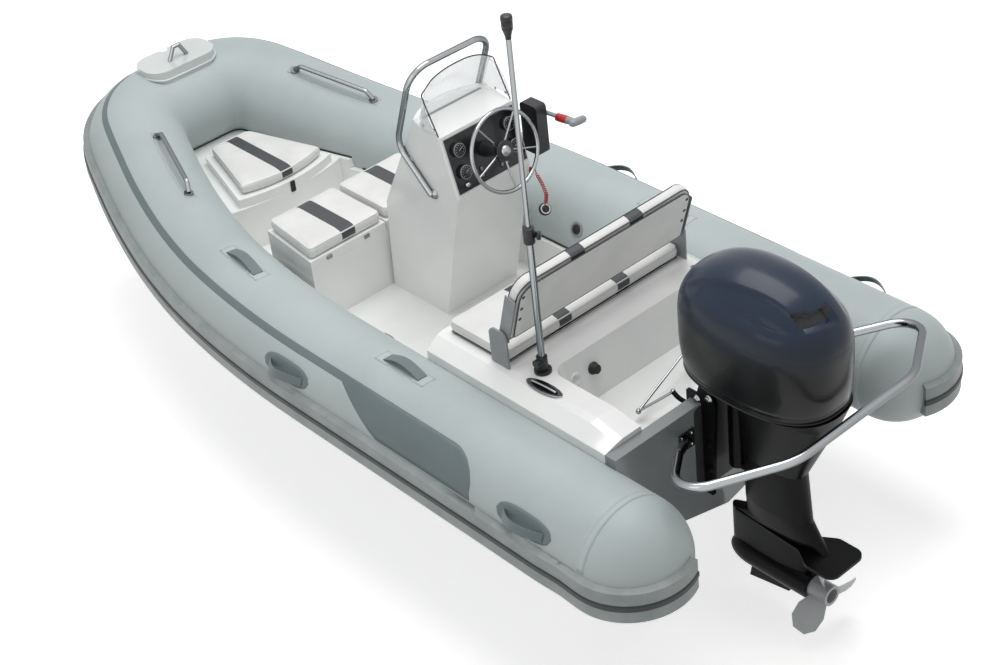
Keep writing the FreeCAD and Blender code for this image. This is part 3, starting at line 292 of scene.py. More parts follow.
@dataclass(frozen=True)
class MarineVinyl:
    """Foam-backed upholstery vinyl with a fine leather emboss."""

    name: str
    face: str
    shade: str
    emboss_mm: float = 2.2
    fold_mm: float = 62.5
    roughness: float = 0.46
    band: str = "3B3E42"
    band_place: float = 0.0
    band_half: float = 0.0

    def build(self) -> bpy.types.Material:
        """Make the material.

        Returns:
            The material.
        """
        material, tree, shader = fresh(self.name)
        space = texture_space(tree)
        # The emboss, about twice its real width so that it shows, softens the light on the pads.
        cells = add(tree, "ShaderNodeTexVoronoi", {"Vector": space, "Scale": 1000 / self.emboss_mm},
                    feature="DISTANCE_TO_EDGE")
        cloud = add(tree, "ShaderNodeTexNoise", {"Vector": space, "Scale": 6.0, "Detail": 4.0})
        folds = add(tree, "ShaderNodeTexNoise", {"Vector": space, "Scale": 1000 / self.fold_mm,
                                                 "Detail": 2.0})
        colour = ramp(tree, cloud.outputs["Fac"], ((0.34, self.shade), (0.64, self.face)))
        soft = add(tree, "ShaderNodeBump", {"Height": folds.outputs["Fac"], "Strength": 0.18,
                                            "Distance": 0.006})
        bump = add(tree, "ShaderNodeBump", {"Height": cells.outputs["Distance"], "Strength": 0.16,
                                            "Distance": 0.0006, "Normal": soft.outputs["Normal"]})
        if self.band_half:
            colour, bump = self.sew_band(tree, space, colour, bump)
        fill(tree, shader, {"Base Color": colour, "Normal": bump.outputs["Normal"],
                            "Roughness": self.roughness, "Sheen Weight": 0.06})
        return material

    def sew_band(self, tree: bpy.types.NodeTree, space: bpy.types.NodeSocket, colour: bpy.types.NodeSocket,
                 bump: bpy.types.Node) -> tuple[bpy.types.NodeSocket, bpy.types.Node]:
        """Colour the sewn-in bands and press their seams in.

        Args:
            tree: The node tree.
            space: The object's coordinates.
            colour: Colour of the plain vinyl.
            bump: The last bump node.

        Returns:
            The colour socket and the last bump node.
        """
        split = add(tree, "ShaderNodeSeparateXYZ", {0: space})
        across = add(tree, "ShaderNodeMath", {0: split.outputs["Y"]}, operation="ABSOLUTE")
        off = add(tree, "ShaderNodeMath", {0: across.outputs[0], 1: self.band_place}, operation="SUBTRACT")
        off = add(tree, "ShaderNodeMath", {0: off.outputs[0]}, operation="ABSOLUTE")
        inside = add(tree, "ShaderNodeMath", {0: off.outputs[0], 1: self.band_half}, operation="LESS_THAN")
        blend = add(tree, "ShaderNodeMix", {0: inside.outputs[0], 6: colour, 7: linear(self.band)},
                    data_type="RGBA")
        edge = add(tree, "ShaderNodeMath", {0: off.outputs[0], 1: self.band_half}, operation="SUBTRACT")
        edge = add(tree, "ShaderNodeMath", {0: edge.outputs[0]}, operation="ABSOLUTE")
        seam = add(tree, "ShaderNodeMapRange", {"Value": edge.outputs[0], "From Max": 0.0028})
        bump = add(tree, "ShaderNodeBump", {"Height": seam.outputs["Result"], "Strength": 0.7,
                                            "Distance": 0.0016, "Normal": bump.outputs["Normal"]})
        return blend.outputs[2], bump


@dataclass(frozen=True)
class CowlEnamel:
    """Metallic enamel that turns from black at the base to blue-black on the dome."""

    name: str
    base: str
    dome: str
    from_height: float = 0.74
    to_height: float = 0.90
    flake_mm: float = 0.625
    peel_mm: float = 11.11

    def build(self) -> bpy.types.Material:
        """Make the material.

        Returns:
            The material.
        """
        material, tree, shader = fresh(self.name)
        space = texture_space(tree)
        # Flake, drawn coarser than real, frays the edge of the highlight; orange peel bends it a little.
        split = add(tree, "ShaderNodeSeparateXYZ", {0: space})
        rise = add(tree, "ShaderNodeMapRange", {"Value": split.outputs["Z"], "From Min": self.from_height,
                                                "From Max": self.to_height})
        flake = add(tree, "ShaderNodeTexNoise", {"Vector": space, "Scale": 1000 / self.flake_mm,
                                                 "Detail": 1.0})
        colour = ramp(tree, rise.outputs["Result"], ((0.0, self.base), (1.0, self.dome)))
        rough = add(tree, "ShaderNodeMapRange", {"Value": flake.outputs["Fac"], "To Min": 0.24,
                                                 "To Max": 0.34})
        peel = add(tree, "ShaderNodeTexNoise", {"Vector": space, "Scale": 1000 / self.peel_mm, "Detail": 2.0})
        bump = add(tree, "ShaderNodeBump", {"Height": peel.outputs["Fac"], "Strength": 0.03,
                                            "Distance": 0.001})
        fill(tree, shader, {"Base Color": colour, "Roughness": rough.outputs["Result"],
                            "Normal": bump.outputs["Normal"], "Specular IOR Level": 0.24,
                            "Coat Weight": 0.15, "Coat Roughness": 0.10})
        return material


@dataclass(frozen=True)
class Stainless:
    """Polished marine stainless steel with faint draw marks."""

    name: str = "polished stainless steel"
    # face is the metal's colour seen square on; middle and rim are painted reflection, the greys drawn where
    # the tube turns away.
    face: str = "B6B9BB"
    rim: str = "42464A"
    roughness: float = 0.16
    middle: str = "83878A"
    draw_mm: float = 16.67

    def build(self) -> bpy.types.Material:
        """Make the material.

        Returns:
            The material.
        """
        material, tree, shader = fresh(self.name)
        space = texture_space(tree)
        # Painted reflection: the colour goes darker by facing angle, from face through middle to rim,
        # standing in for the grey that polished tube reflects at its edges, so that it reads as round against
        # white.
        marks = add(tree, "ShaderNodeTexNoise", {"Vector": space, "Scale": 1000 / self.draw_mm,
                                                 "Detail": 4.0})
        rough = add(tree, "ShaderNodeMapRange", {"Value": marks.outputs["Fac"],
                                                 "To Min": self.roughness - 0.05,
                                                 "To Max": self.roughness + 0.10})
        bump = add(tree, "ShaderNodeBump", {"Height": marks.outputs["Fac"], "Strength": 0.03,
                                            "Distance": 0.0005})
        turn = add(tree, "ShaderNodeLayerWeight", {"Blend": 0.42})
        colour = ramp(tree, turn.outputs["Facing"], ((0.05, self.face), (0.34, self.middle),
                                                     (0.72, self.rim)))
        fill(tree, shader, {"Base Color": colour, "Roughness": rough.outputs["Result"],
                            "Normal": bump.outputs["Normal"], "Metallic": 1.0})
        return material


@dataclass(frozen=True)
class MouldedPlastic:
    """Injection-moulded ABS or nylon with a spark-eroded grain."""

    name: str
    face: str
    worn: str
    grain_mm: float = 1.2
    roughness: float = 0.42
    strength: float = 0.14

    def build(self) -> bpy.types.Material:
        """Make the material.

        Returns:
            The material.
        """
        material, tree, shader = fresh(self.name)
        space = texture_space(tree)
        # The grain takes the shine off flat faces and leaves a faint, even sheen.
        grain = add(tree, "ShaderNodeTexNoise", {"Vector": space, "Scale": 1000 / self.grain_mm,
                                                 "Detail": 2.0})
        cloud = add(tree, "ShaderNodeTexNoise", {"Vector": space, "Scale": 14.0, "Detail": 4.0})
        colour = ramp(tree, cloud.outputs["Fac"], ((0.40, self.face), (0.75, self.worn)))
        bump = add(tree, "ShaderNodeBump", {"Height": grain.outputs["Fac"], "Strength": self.strength,
                                            "Distance": 0.0005})
        fill(tree, shader, {"Base Color": colour, "Normal": bump.outputs["Normal"],
                            "Roughness": self.roughness})
        return material


@dataclass(frozen=True)
class MotorPaint:
    """Baked marine enamel with fine metal flake under a clear coat."""

    name: str
    face: str
    flake: str
    roughness: float = 0.30
    gloss: float = 0.5
    flake_mm: float = 1.111

    def build(self) -> bpy.types.Material:
        """Make the material.

        Returns:
            The material.
        """
        material, tree, shader = fresh(self.name)
        space = texture_space(tree)
        # Flake under the clear coat, drawn coarser than real, gives a soft, wide highlight.
        flake = add(tree, "ShaderNodeTexVoronoi", {"Vector": space, "Scale": 1000 / self.flake_mm})
        cloud = add(tree, "ShaderNodeTexNoise", {"Vector": space, "Scale": 5.0, "Detail": 4.0})
        colour = ramp(tree, flake.outputs["Distance"], ((0.05, self.flake), (0.22, self.face)))
        rough = add(tree, "ShaderNodeMapRange", {"Value": cloud.outputs["Fac"],
                                                 "To Min": self.roughness - 0.05,
                                                 "To Max": self.roughness + 0.12})
        fill(tree, shader, {"Base Color": colour, "Roughness": rough.outputs["Result"],
                            "Specular IOR Level": self.gloss, "Coat Weight": self.gloss / 2,
                            "Coat Roughness": 0.12})
        return material


@dataclass(frozen=True)
class TintedAcrylic:
    """Cast acrylic sheet, lightly smoked."""

    name: str = "smoked acrylic"
    tint: str = "C6CCD0"
    haze_mm: float = 33.33

    def build(self) -> bpy.types.Material:
        """Make the material.

        Returns:
            The material.
        """
        material, tree, shader = fresh(self.name)
        space = texture_space(tree)
        # Patches of haze keep the sheet from looking empty and grey the white behind it.
        haze = add(tree, "ShaderNodeTexNoise", {"Vector": space, "Scale": 1000 / self.haze_mm, "Detail": 4.0})
        rough = add(tree, "ShaderNodeMapRange", {"Value": haze.outputs["Fac"], "To Min": 0.02,
                                                 "To Max": 0.08})
        fill(tree, shader, {"Roughness": rough.outputs["Result"], "Base Color": linear(self.tint),
                            "IOR": 1.49, "Transmission Weight": 0.9, "Alpha": 0.45})
        return material


@dataclass(frozen=True)
class Look:
    """A finish made ready: its material and the record's slot that it stands for."""

    material: bpy.types.Material
    slot: Slot


class Finishes:
    """Every finish of the boat, made once."""

    def __init__(self) -> None:
        """Build the materials."""
        self.tube = Look(CoatedFabric("grey coated tube fabric", "B4BEBE", "ABB5B5").build(), Slot.TUBE)
        self.tube_patch = Look(CoatedFabric("grey seam tape fabric", "B7C1C1", "AEB8B8").build(), Slot.TUBE)
        self.dark_fabric = Look(CoatedFabric("slate coated fabric", "6B787A", "626F71").build(),
                                Slot.DARK_FABRIC)
        self.strake = Look(MouldedRubber("grey strake rubber", "808888", "999F9E", 0.45).build(), Slot.STRAKE)
        self.insert = Look(MouldedRubber("dark strake insert", "1C2022", "2B2F31", 0.5).build(), Slot.INSERT)
        self.gelcoat = Look(Gelcoat("white gelcoat", "F3F4F2", "ECEDEC").build(), Slot.GELCOAT)
        self.grip = Look(Gelcoat("white non-slip gelcoat", "E6E7E4", "DDDEDB", 0.45, 0.35).build(),
                         Slot.GELCOAT)
        # Painted shade: the transom is white gelcoat, coloured mid grey here to stand for the shade it lies
        # in.
        self.shade = Look(Gelcoat("white transom gelcoat with painted shade", "8B8F91", "818587").build(), Slot.GELCOAT)
        self.step = Look(Gelcoat("pale grey step gelcoat", "D4D9D8", "C9CFCE").build(), Slot.GELCOAT)
        self.vinyl = Look(MarineVinyl("white marine vinyl", "E6E6E4", "DCDDDB").build(), Slot.VINYL)
        self.dark_vinyl = Look(MarineVinyl("charcoal marine vinyl", "3B3E42", "323539").build(), Slot.VINYL)
        self.bench_vinyl = Look(MarineVinyl("white bench vinyl", "E6E6E4", "DCDDDB", band_place=0.149,
                                            band_half=0.031).build(), Slot.VINYL)
        self.front_vinyl = Look(MarineVinyl("white front seat vinyl", "E6E6E4", "DCDDDB", band_place=0.180,
                                            band_half=0.034).build(), Slot.VINYL)
        self.back_vinyl = Look(MarineVinyl("white backrest vinyl", "E6E6E4", "DCDDDB", band_place=0.146,
                                           band_half=0.034).build(), Slot.VINYL)
        self.bow_vinyl = Look(MarineVinyl("white bow vinyl", "E6E6E4", "DCDDDB", band_half=0.028).build(),
                              Slot.VINYL)
        self.cowl = Look(CowlEnamel("blue-black cowl enamel", "08090B", "1C2A3E").build(), Slot.MOTOR)
        self.red = Look(MouldedPlastic("red moulded nylon", "B3202A", "A01B24").build(), Slot.BLACK)
        self.white = Look(MouldedPlastic("white moulded nylon", "E6E7E6", "DCDDDC").build(), Slot.GELCOAT)
        self.steel = Look(Stainless().build(), Slot.STEEL)
        self.black = Look(MouldedPlastic("black moulded nylon", "15161A", "24262A").build(), Slot.BLACK)
        self.rubber = Look(MouldedRubber("black moulded rubber", "121315", "1F2022", 0.6).build(), Slot.BLACK)
        self.dash = Look(MouldedPlastic("black gloss dash panel", "131418", "1D1F24", 0.8, 0.24,
                                        0.05).build(), Slot.DASH)
        self.grey = Look(MouldedPlastic("grey moulded nylon", "8E9295", "9A9EA0").build(), Slot.GREY)
        self.paint = Look(MotorPaint("dark blue-black motor enamel", "08090B", "101319", 0.34, 0.10).build(),
                          Slot.MOTOR)
        self.cast = Look(MotorPaint("black cast alloy enamel", "070809", "0C0D0F", 0.55, 0.05).build(),
                         Slot.BLACK)
        self.alloy = Look(MouldedPlastic("cast engine block", "3A3C3E", "4A4C4E").build(), Slot.ALLOY)
        self.prop = Look(MotorPaint("grey propeller enamel", "9DA0A1", "B0B3B4", 0.35).build(),
                         Slot.PROPELLER)
        self.acrylic = Look(TintedAcrylic().build(), Slot.ACRYLIC)

    def by_slot(self) -> dict[str, Look]:
        """Give the finish of each of the record's slots.

        Returns:
            Looks by the slots' names.
        """
        plain = (self.tube, self.strake, self.insert, self.dark_fabric, self.gelcoat, self.vinyl, self.steel,
                 self.black, self.dash, self.acrylic, self.paint, self.alloy, self.grey, self.prop)
        return {look.slot.value: look for look in plain} | {Slot.DIAL.value: self.rubber}

    def dress_frame(self) -> None:
        """Give every CAD node its finish."""
        finishes = self.by_slot()
        for part in frame["record"]["subparts"]:
            self.dress(part["node"], finishes[part["material_slot"]])
        # The transom takes the grey of painted shade, not a grey gelcoat.
        self.dress("transom", self.shade)
        self.dress("bow_step", self.step)

    def dress(self, node_name: str, look: Look) -> None:
        """Give one CAD node a finish."""
        for slot in frame["nodes"][node_name].material_slots:
            slot.material = look.material


def background_rays(tree: bpy.types.NodeTree) -> bpy.types.NodeSocket:
    """Tell the rays that show the background: seen by the camera, in gloss or through glass.

    Args:
        tree: The node tree of the floor or the world.

    Returns:
        A socket that is one for those rays and nought for the others.
    """
    path = add(tree, "ShaderNodeLightPath")
    seen = add(tree, "ShaderNodeMath", {0: path.outputs["Is Camera Ray"], 1: path.outputs["Is Glossy Ray"]},
               operation="MAXIMUM")
    seen = add(tree, "ShaderNodeMath", {0: seen.outputs[0], 1: path.outputs["Is Transmission Ray"]},
               operation="MAXIMUM")
    return seen.outputs[0]


@dataclass
class Studio:
    """Floor, lights and the camera at the photo's place."""

    floor_height: float = -0.47
    floor_lift: float = 0.50
    focal_px: float = 1961.94
    yaw: float = 0.671285
    pitch: float = 0.615297
    roll: float = -0.118051
    place: Point = (-5.28937, 3.94010, 4.56750)
    photo_px: float = 1000.0
    floor_half: float = 60.0
    sky_level: float = 0.46
    lamp_aim: Point = (0, 0, 0.3)
    lamps: tuple[tuple[str, Point, float, float], ...] = (("key", (0.0, -0.5, 6.0), 4.5, 235.0),
                                                          ("fill", (-1.5, 5.5, 2.6), 3.0, 22.0))

    def build(self) -> None:
        """Set the stage."""
        self.camera()
        self.floor()
        self.lights()
        bpy.context.scene.view_settings.view_transform = "Standard"

    def camera(self) -> None:
        """Stand the camera where the photo was taken from."""
        ahead = Vector((math.cos(self.pitch) * math.cos(self.yaw), -math.cos(self.pitch) * math.sin(self.yaw),
                        -math.sin(self.pitch)))
        side = Vector((-math.sin(self.yaw), -math.cos(self.yaw), 0.0))
        top = side.cross(ahead)
        c, s = math.cos(self.roll), math.sin(self.roll)
        right, up = side * c + top * s, top * c - side * s
        data = bpy.data.cameras.new("camera")
        data.lens = self.focal_px * data.sensor_width / self.photo_px
        data.clip_end = 100
        camera = bpy.data.objects.new("camera", data)
        camera.matrix_world = Matrix(((right.x, up.x, -ahead.x, self.place[0]),
                                      (right.y, up.y, -ahead.y, self.place[1]),
                                      (right.z, up.z, -ahead.z, self.place[2]), (0, 0, 0, 1)))
        bpy.context.scene.collection.objects.link(camera)
        bpy.context.scene.camera = camera

    def floor(self) -> None:
        """Lay a pale floor that shows the same white to the camera and in reflections."""
        mesh = bpy.data.meshes.new("floor")
        half, z = self.floor_half, self.floor_height
        mesh.from_pydata([(x * half, y * half, z) for x, y in ((-1, -1), (1, -1), (1, 1), (-1, 1))], [],
                         [(0, 1, 2, 3)])
        floor = bpy.data.objects.new("floor", mesh)
        bpy.context.scene.collection.objects.link(floor)
        material, tree, shader = fresh("pale studio floor")
        fill(tree, shader, {"Base Color": linear("F4F4F3"), "Roughness": 0.9})
        lift = add(tree, "ShaderNodeMath", {0: background_rays(tree), 1: self.floor_lift},
                   operation="MULTIPLY")
        fill(tree, shader, {"Emission Strength": lift.outputs[0], "Emission Color": linear("FFFFFF")})
        mesh.materials.append(material)

    def lights(self) -> None:
        """Light the boat softly from above, with a faint fill from port."""
        world = bpy.data.worlds.new("studio")
        bpy.context.scene.world = world
        world.use_nodes = True
        tree = world.node_tree
        tree.nodes.clear()
        level = add(tree, "ShaderNodeMapRange", {"Value": background_rays(tree), "To Min": self.sky_level,
                                                 "To Max": 1.0})
        sky = add(tree, "ShaderNodeBackground", {"Color": linear("FFFFFF"),
                                                 "Strength": level.outputs["Result"]})
        add(tree, "ShaderNodeOutputWorld", {"Surface": sky.outputs["Background"]})
        for lamp in self.lamps:
            self.lamp(*lamp)

    def lamp(self, name: str, place: Point, size: float, watts: float) -> None:
        """Hang a square soft box that faces the boat.

        Args:
            name: Name of the lamp.
            place: Where it hangs.
            size: Length of its sides.
            watts: Its power.
        """
        data = bpy.data.lights.new(name, "AREA")
        data.size = size
        data.energy = watts
        lamp = bpy.data.objects.new(name, data)
        lamp.location = place
        lamp.rotation_euler = (Vector(self.lamp_aim) - Vector(place)).to_track_quat("-Z", "Y").to_euler()
        bpy.context.scene.collection.objects.link(lamp)


# Mesh and curve helpers


def show(obj: bpy.types.Object, look: Look, body: str = "boat") -> bpy.types.Object:
    """Link a piece, dress it and make it ride.

    Args:
        obj: The new object, already in place.
        look: Its finish.
        body: The CAD body that it moves with.

    Returns:
        The same object.
    """
    bpy.context.scene.collection.objects.link(obj)
    obj.data.materials.append(look.material)
    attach(obj, body)
    LOG.info("piece %s", obj.name)
    return obj


def from_mesh(name: str, points: Iterable[Vector], faces: Sequence[Sequence[int]]) -> bpy.types.Object:
    """Make a smooth-shaded object from points and faces.

    Args:
        name: The piece's name.
        points: Places of its vertices.
        faces: Vertex numbers of each face.

    Returns:
        The new object, not linked yet.
    """
    mesh = bpy.data.meshes.new(name)
    mesh.from_pydata([tuple(p) for p in points], [], [tuple(f) for f in faces])
    mesh.update()
    for face in mesh.polygons:
        face.use_smooth = True
    return bpy.data.objects.new(name, mesh)


def wire(name: str, route: Sequence[Vector], radius: float, closed: bool = False) -> bpy.types.Object:
    """Make a round rod or piping along a smooth route.

    Args:
        name: The piece's name.
        route: Control points of the route.
        radius: Radius of the rod.
        closed: Whether the route closes on itself.

    Returns:
        The curve object.
    """
    data = bpy.data.curves.new(name, "CURVE")
    data.dimensions = "3D"
    data.bevel_depth = radius
    data.bevel_resolution = 4
    data.use_fill_caps = True
    data.resolution_u = 6
    line = data.splines.new("NURBS")
    line.points.add(len(route) - 1)
    for spot, place in zip(line.points, route):
        spot.co = (*place, 1.0)
    line.use_cyclic_u = closed
    line.order_u = 3
    line.use_endpoint_u = not closed
    return bpy.data.objects.new(name, data)


def ring_faces(count: int, rings: int) -> list[tuple[int, ...]]:
    """Give the quads between closed rings of points laid one after another.

    Args:
        count: Points in a ring.
        rings: Number of rings.

    Returns:
        The quads.
    """
    faces = []
    for r in range(rings - 1):
        for i in range(count):
            j = (i + 1) % count
            faces.append((r * count + i, r * count + j, (r + 1) * count + j, (r + 1) * count + i))
    return faces


def turned(name: str, profile: Sequence[Pair], place: Vector, axis: Vector,
           count: int = 40) -> bpy.types.Object:
    """Turn a profile of radius and height about an axis.

    Args:
        name: The piece's name.
        profile: Pairs of radius and height, from the base up.
        place: Where height nought lies.
        axis: Direction of height.
        count: Points round the piece.

    Returns:
        The mesh object.
    """
    turn = Vector(axis).normalized().to_track_quat("Z", "Y")
    points = []
    for radius, height in profile:
        for i in range(count):
            a = 2 * math.pi * i / count
            points.append(place + turn @ Vector((radius * math.cos(a), radius * math.sin(a), height)))
    faces = ring_faces(count, len(profile))
    faces.append(tuple(reversed(range(count))))
    faces.append(tuple(range((len(profile) - 1) * count, len(profile) * count)))
    return from_mesh(name, points, faces)


def slab(name: str, outline: Sequence[Pair], thickness: float, frame_of: Matrix,
         bevel: float = 0.0015) -> bpy.types.Object:
    """Raise a flat outline into a plate with softened edges.

    Args:
        name: The piece's name.
        outline: Points of the plate in its own plane.
        thickness: Height of the plate along its own Z.
        frame_of: Where the plate's plane lies.
        bevel: Width of the softened edge.

    Returns:
        The mesh object.
    """
    count = len(outline)
    points = [frame_of @ Vector((x, y, z)) for z in (0.0, thickness) for x, y in outline]
    faces = ring_faces(count, 2) + [tuple(reversed(range(count))), tuple(range(count, 2 * count))]
    obj = from_mesh(name, points, faces)
    soft = obj.modifiers.new("edge", "BEVEL")
    soft.width = bevel
    soft.segments = 3
    soft.limit_method = "ANGLE"
    obj.modifiers.new("normals", "WEIGHTED_NORMAL")
    return obj


def rounded(length: float, width: float, corner: float, steps: int = 6, far: float = 0.0) -> list[Pair]:
    """Give the outline of a rectangle with round corners, centred on nought.

    Args:
        length: Size along X.
        width: Size along Y.
        corner: Radius of the corners.
        steps: Steps round a corner.
        far: Radius of the two corners at the low end of X, where it differs.

    Returns:
        The outline's points.
    """
    points = []
    for cx, cy, start in ((1, 1, 0), (-1, 1, 90), (-1, -1, 180), (1, -1, 270)):
        radius = far if far and cx == -1 else corner
        for i in range(steps + 1):
            a = math.radians(start + 90 * i / steps)
            points.append((cx * (length / 2 - radius) + radius * math.cos(a),
                           cy * (width / 2 - radius) + radius * math.sin(a)))
    return points


def facing(place: Vector, normal: Vector, along: Vector) -> Matrix:
    """Give the frame of a plate at a place, with its Z along normal and its X near along.

    Args:
        place: Where the plate's foot lies.
        normal: Direction out of the plate.
        along: Direction near its length.

    Returns:
        The plate's frame.
    """
    z = Vector(normal).normalized()
    x = (Vector(along) - z * Vector(along).dot(z)).normalized()
    y = z.cross(x)
    return Matrix(((x.x, y.x, z.x, place.x), (x.y, y.y, z.y, place.y), (x.z, y.z, z.z, place.z),
                   (0, 0, 0, 1)))


def spread(low: float, high: float, count: int) -> list[float]:
    """Give count + 1 even steps from low to high."""
    return [low + (high - low) * i / count for i in range(count + 1)]


def mix(low: float, high: float, share: float) -> float:
    """Blend two values."""
    return low + (high - low) * share


def smooth_step(edge0: float, edge1: float, value: float) -> float:
    """Ease from nought at edge0 to one at edge1."""
    t = min(max((value - edge0) / (edge1 - edge0), 0.0), 1.0)
    return t * t * (3 - 2 * t)


@dataclass(frozen=True)
class TubePath:
    """Centreline of the port tube, by its distance from the stern."""

    radius: float = 0.215
    half_spacing: float = 0.689
    axis_height: float = 0.225
    straight_to: float = 1.793
    side_radius: float = 5.055
    side_angle: float = math.radians(21.1)
    bow_radius: float = 0.245
    sheer_start: float = 2.569
    sheer_length: float = 0.832
    sheer_angle: float = math.radians(13.6)

    @property
    def side_length(self) -> float:
        """Length of the side run."""
        return self.straight_to + self.side_radius * self.side_angle

    @property
    def half_length(self) -> float:
        """Length from the stern to the middle of the bow.

        Returns:
            The length.
        """
        arc = self.bow_radius * (math.pi / 2 - self.side_angle)
        breadth = self.half_spacing - self.side_radius * (1 - math.cos(self.side_angle))
        return self.side_length + arc + breadth - self.bow_radius * math.cos(self.side_angle)

    def plan(self, s: float) -> Point:
        """Give the flat forward place, half breadth and heading at s.

        Args:
            s: Distance along the tube from the stern.

        Returns:
            Forward place, half breadth and heading.
        """
        if s <= self.straight_to:
            return s, self.half_spacing, 0.0
        end = self.side_angle
        if s <= self.side_length:
            a = (s - self.straight_to) / self.side_radius
            return (self.straight_to + self.side_radius * math.sin(a),
                    self.half_spacing - self.side_radius * (1 - math.cos(a)), a)
        u = self.straight_to + self.side_radius * math.sin(end)
        y = self.half_spacing - self.side_radius * (1 - math.cos(end))
        a = min(end + (s - self.side_length) / self.bow_radius, math.pi / 2)
        rest = max(s - self.side_length - self.bow_radius * (math.pi / 2 - end), 0.0)
        return (u + self.bow_radius * (math.sin(a) - math.sin(end)),
                y - self.bow_radius * (math.cos(end) - math.cos(a)) - rest, a)

    def sheer(self, u: float) -> Point:
        """Give the forward place, rise and slope at flat forward place u.

        Args:
            u: Flat forward place.

        Returns:
            Forward place, rise and slope.
        """
        if u <= self.sheer_start:
            return u, 0.0, 0.0
        radius = self.sheer_length / self.sheer_angle
        a = min(u - self.sheer_start, self.sheer_length) / radius
        rest = max(u - self.sheer_start - self.sheer_length, 0.0)
        return (self.sheer_start + radius * math.sin(a) + rest * math.cos(a),
                radius * (1 - math.cos(a)) + rest * math.sin(a), a)

    def point(self, s: float, degrees: float, lift: float, side: int) -> Vector:
        """Give a place on the tube's skin.

        Args:
            s: Distance along the tube from the stern.
            degrees: Angle round the section, nought outboard and 90 on top.
            lift: Height above the skin.
            side: 1 for port and -1 for starboard.

        Returns:
            The place in the boat's frame.
        """
        u, y, heading = self.plan(s)
        x, rise, slope = self.sheer(u)
        ahead = Vector((math.cos(heading) * math.cos(slope), -math.sin(heading),
                        math.cos(heading) * math.sin(slope)))
        outward = Vector((math.sin(heading) * math.cos(slope), math.cos(heading),
                          math.sin(heading) * math.sin(slope)))
        up = ahead.cross(outward)
        a = math.radians(degrees)
        way = outward * math.cos(a) + up * math.sin(a)
        spot = at(x, y, self.axis_height + rise) + way * (self.radius + lift)
        return Vector((spot.x, side * spot.y, spot.z))

    def station(self, forward: float) -> float:
        """Give s where the section lies at a forward place.

        Args:
            forward: Place forward of the stern.

        Returns:
            Distance along the tube.
        """
        low, high = 0.0, self.half_length
        for _ in range(40):
            middle = (low + high) / 2
            if self.sheer(self.plan(middle)[0])[0] < forward:
                low = middle
            else:
                high = middle
        return low


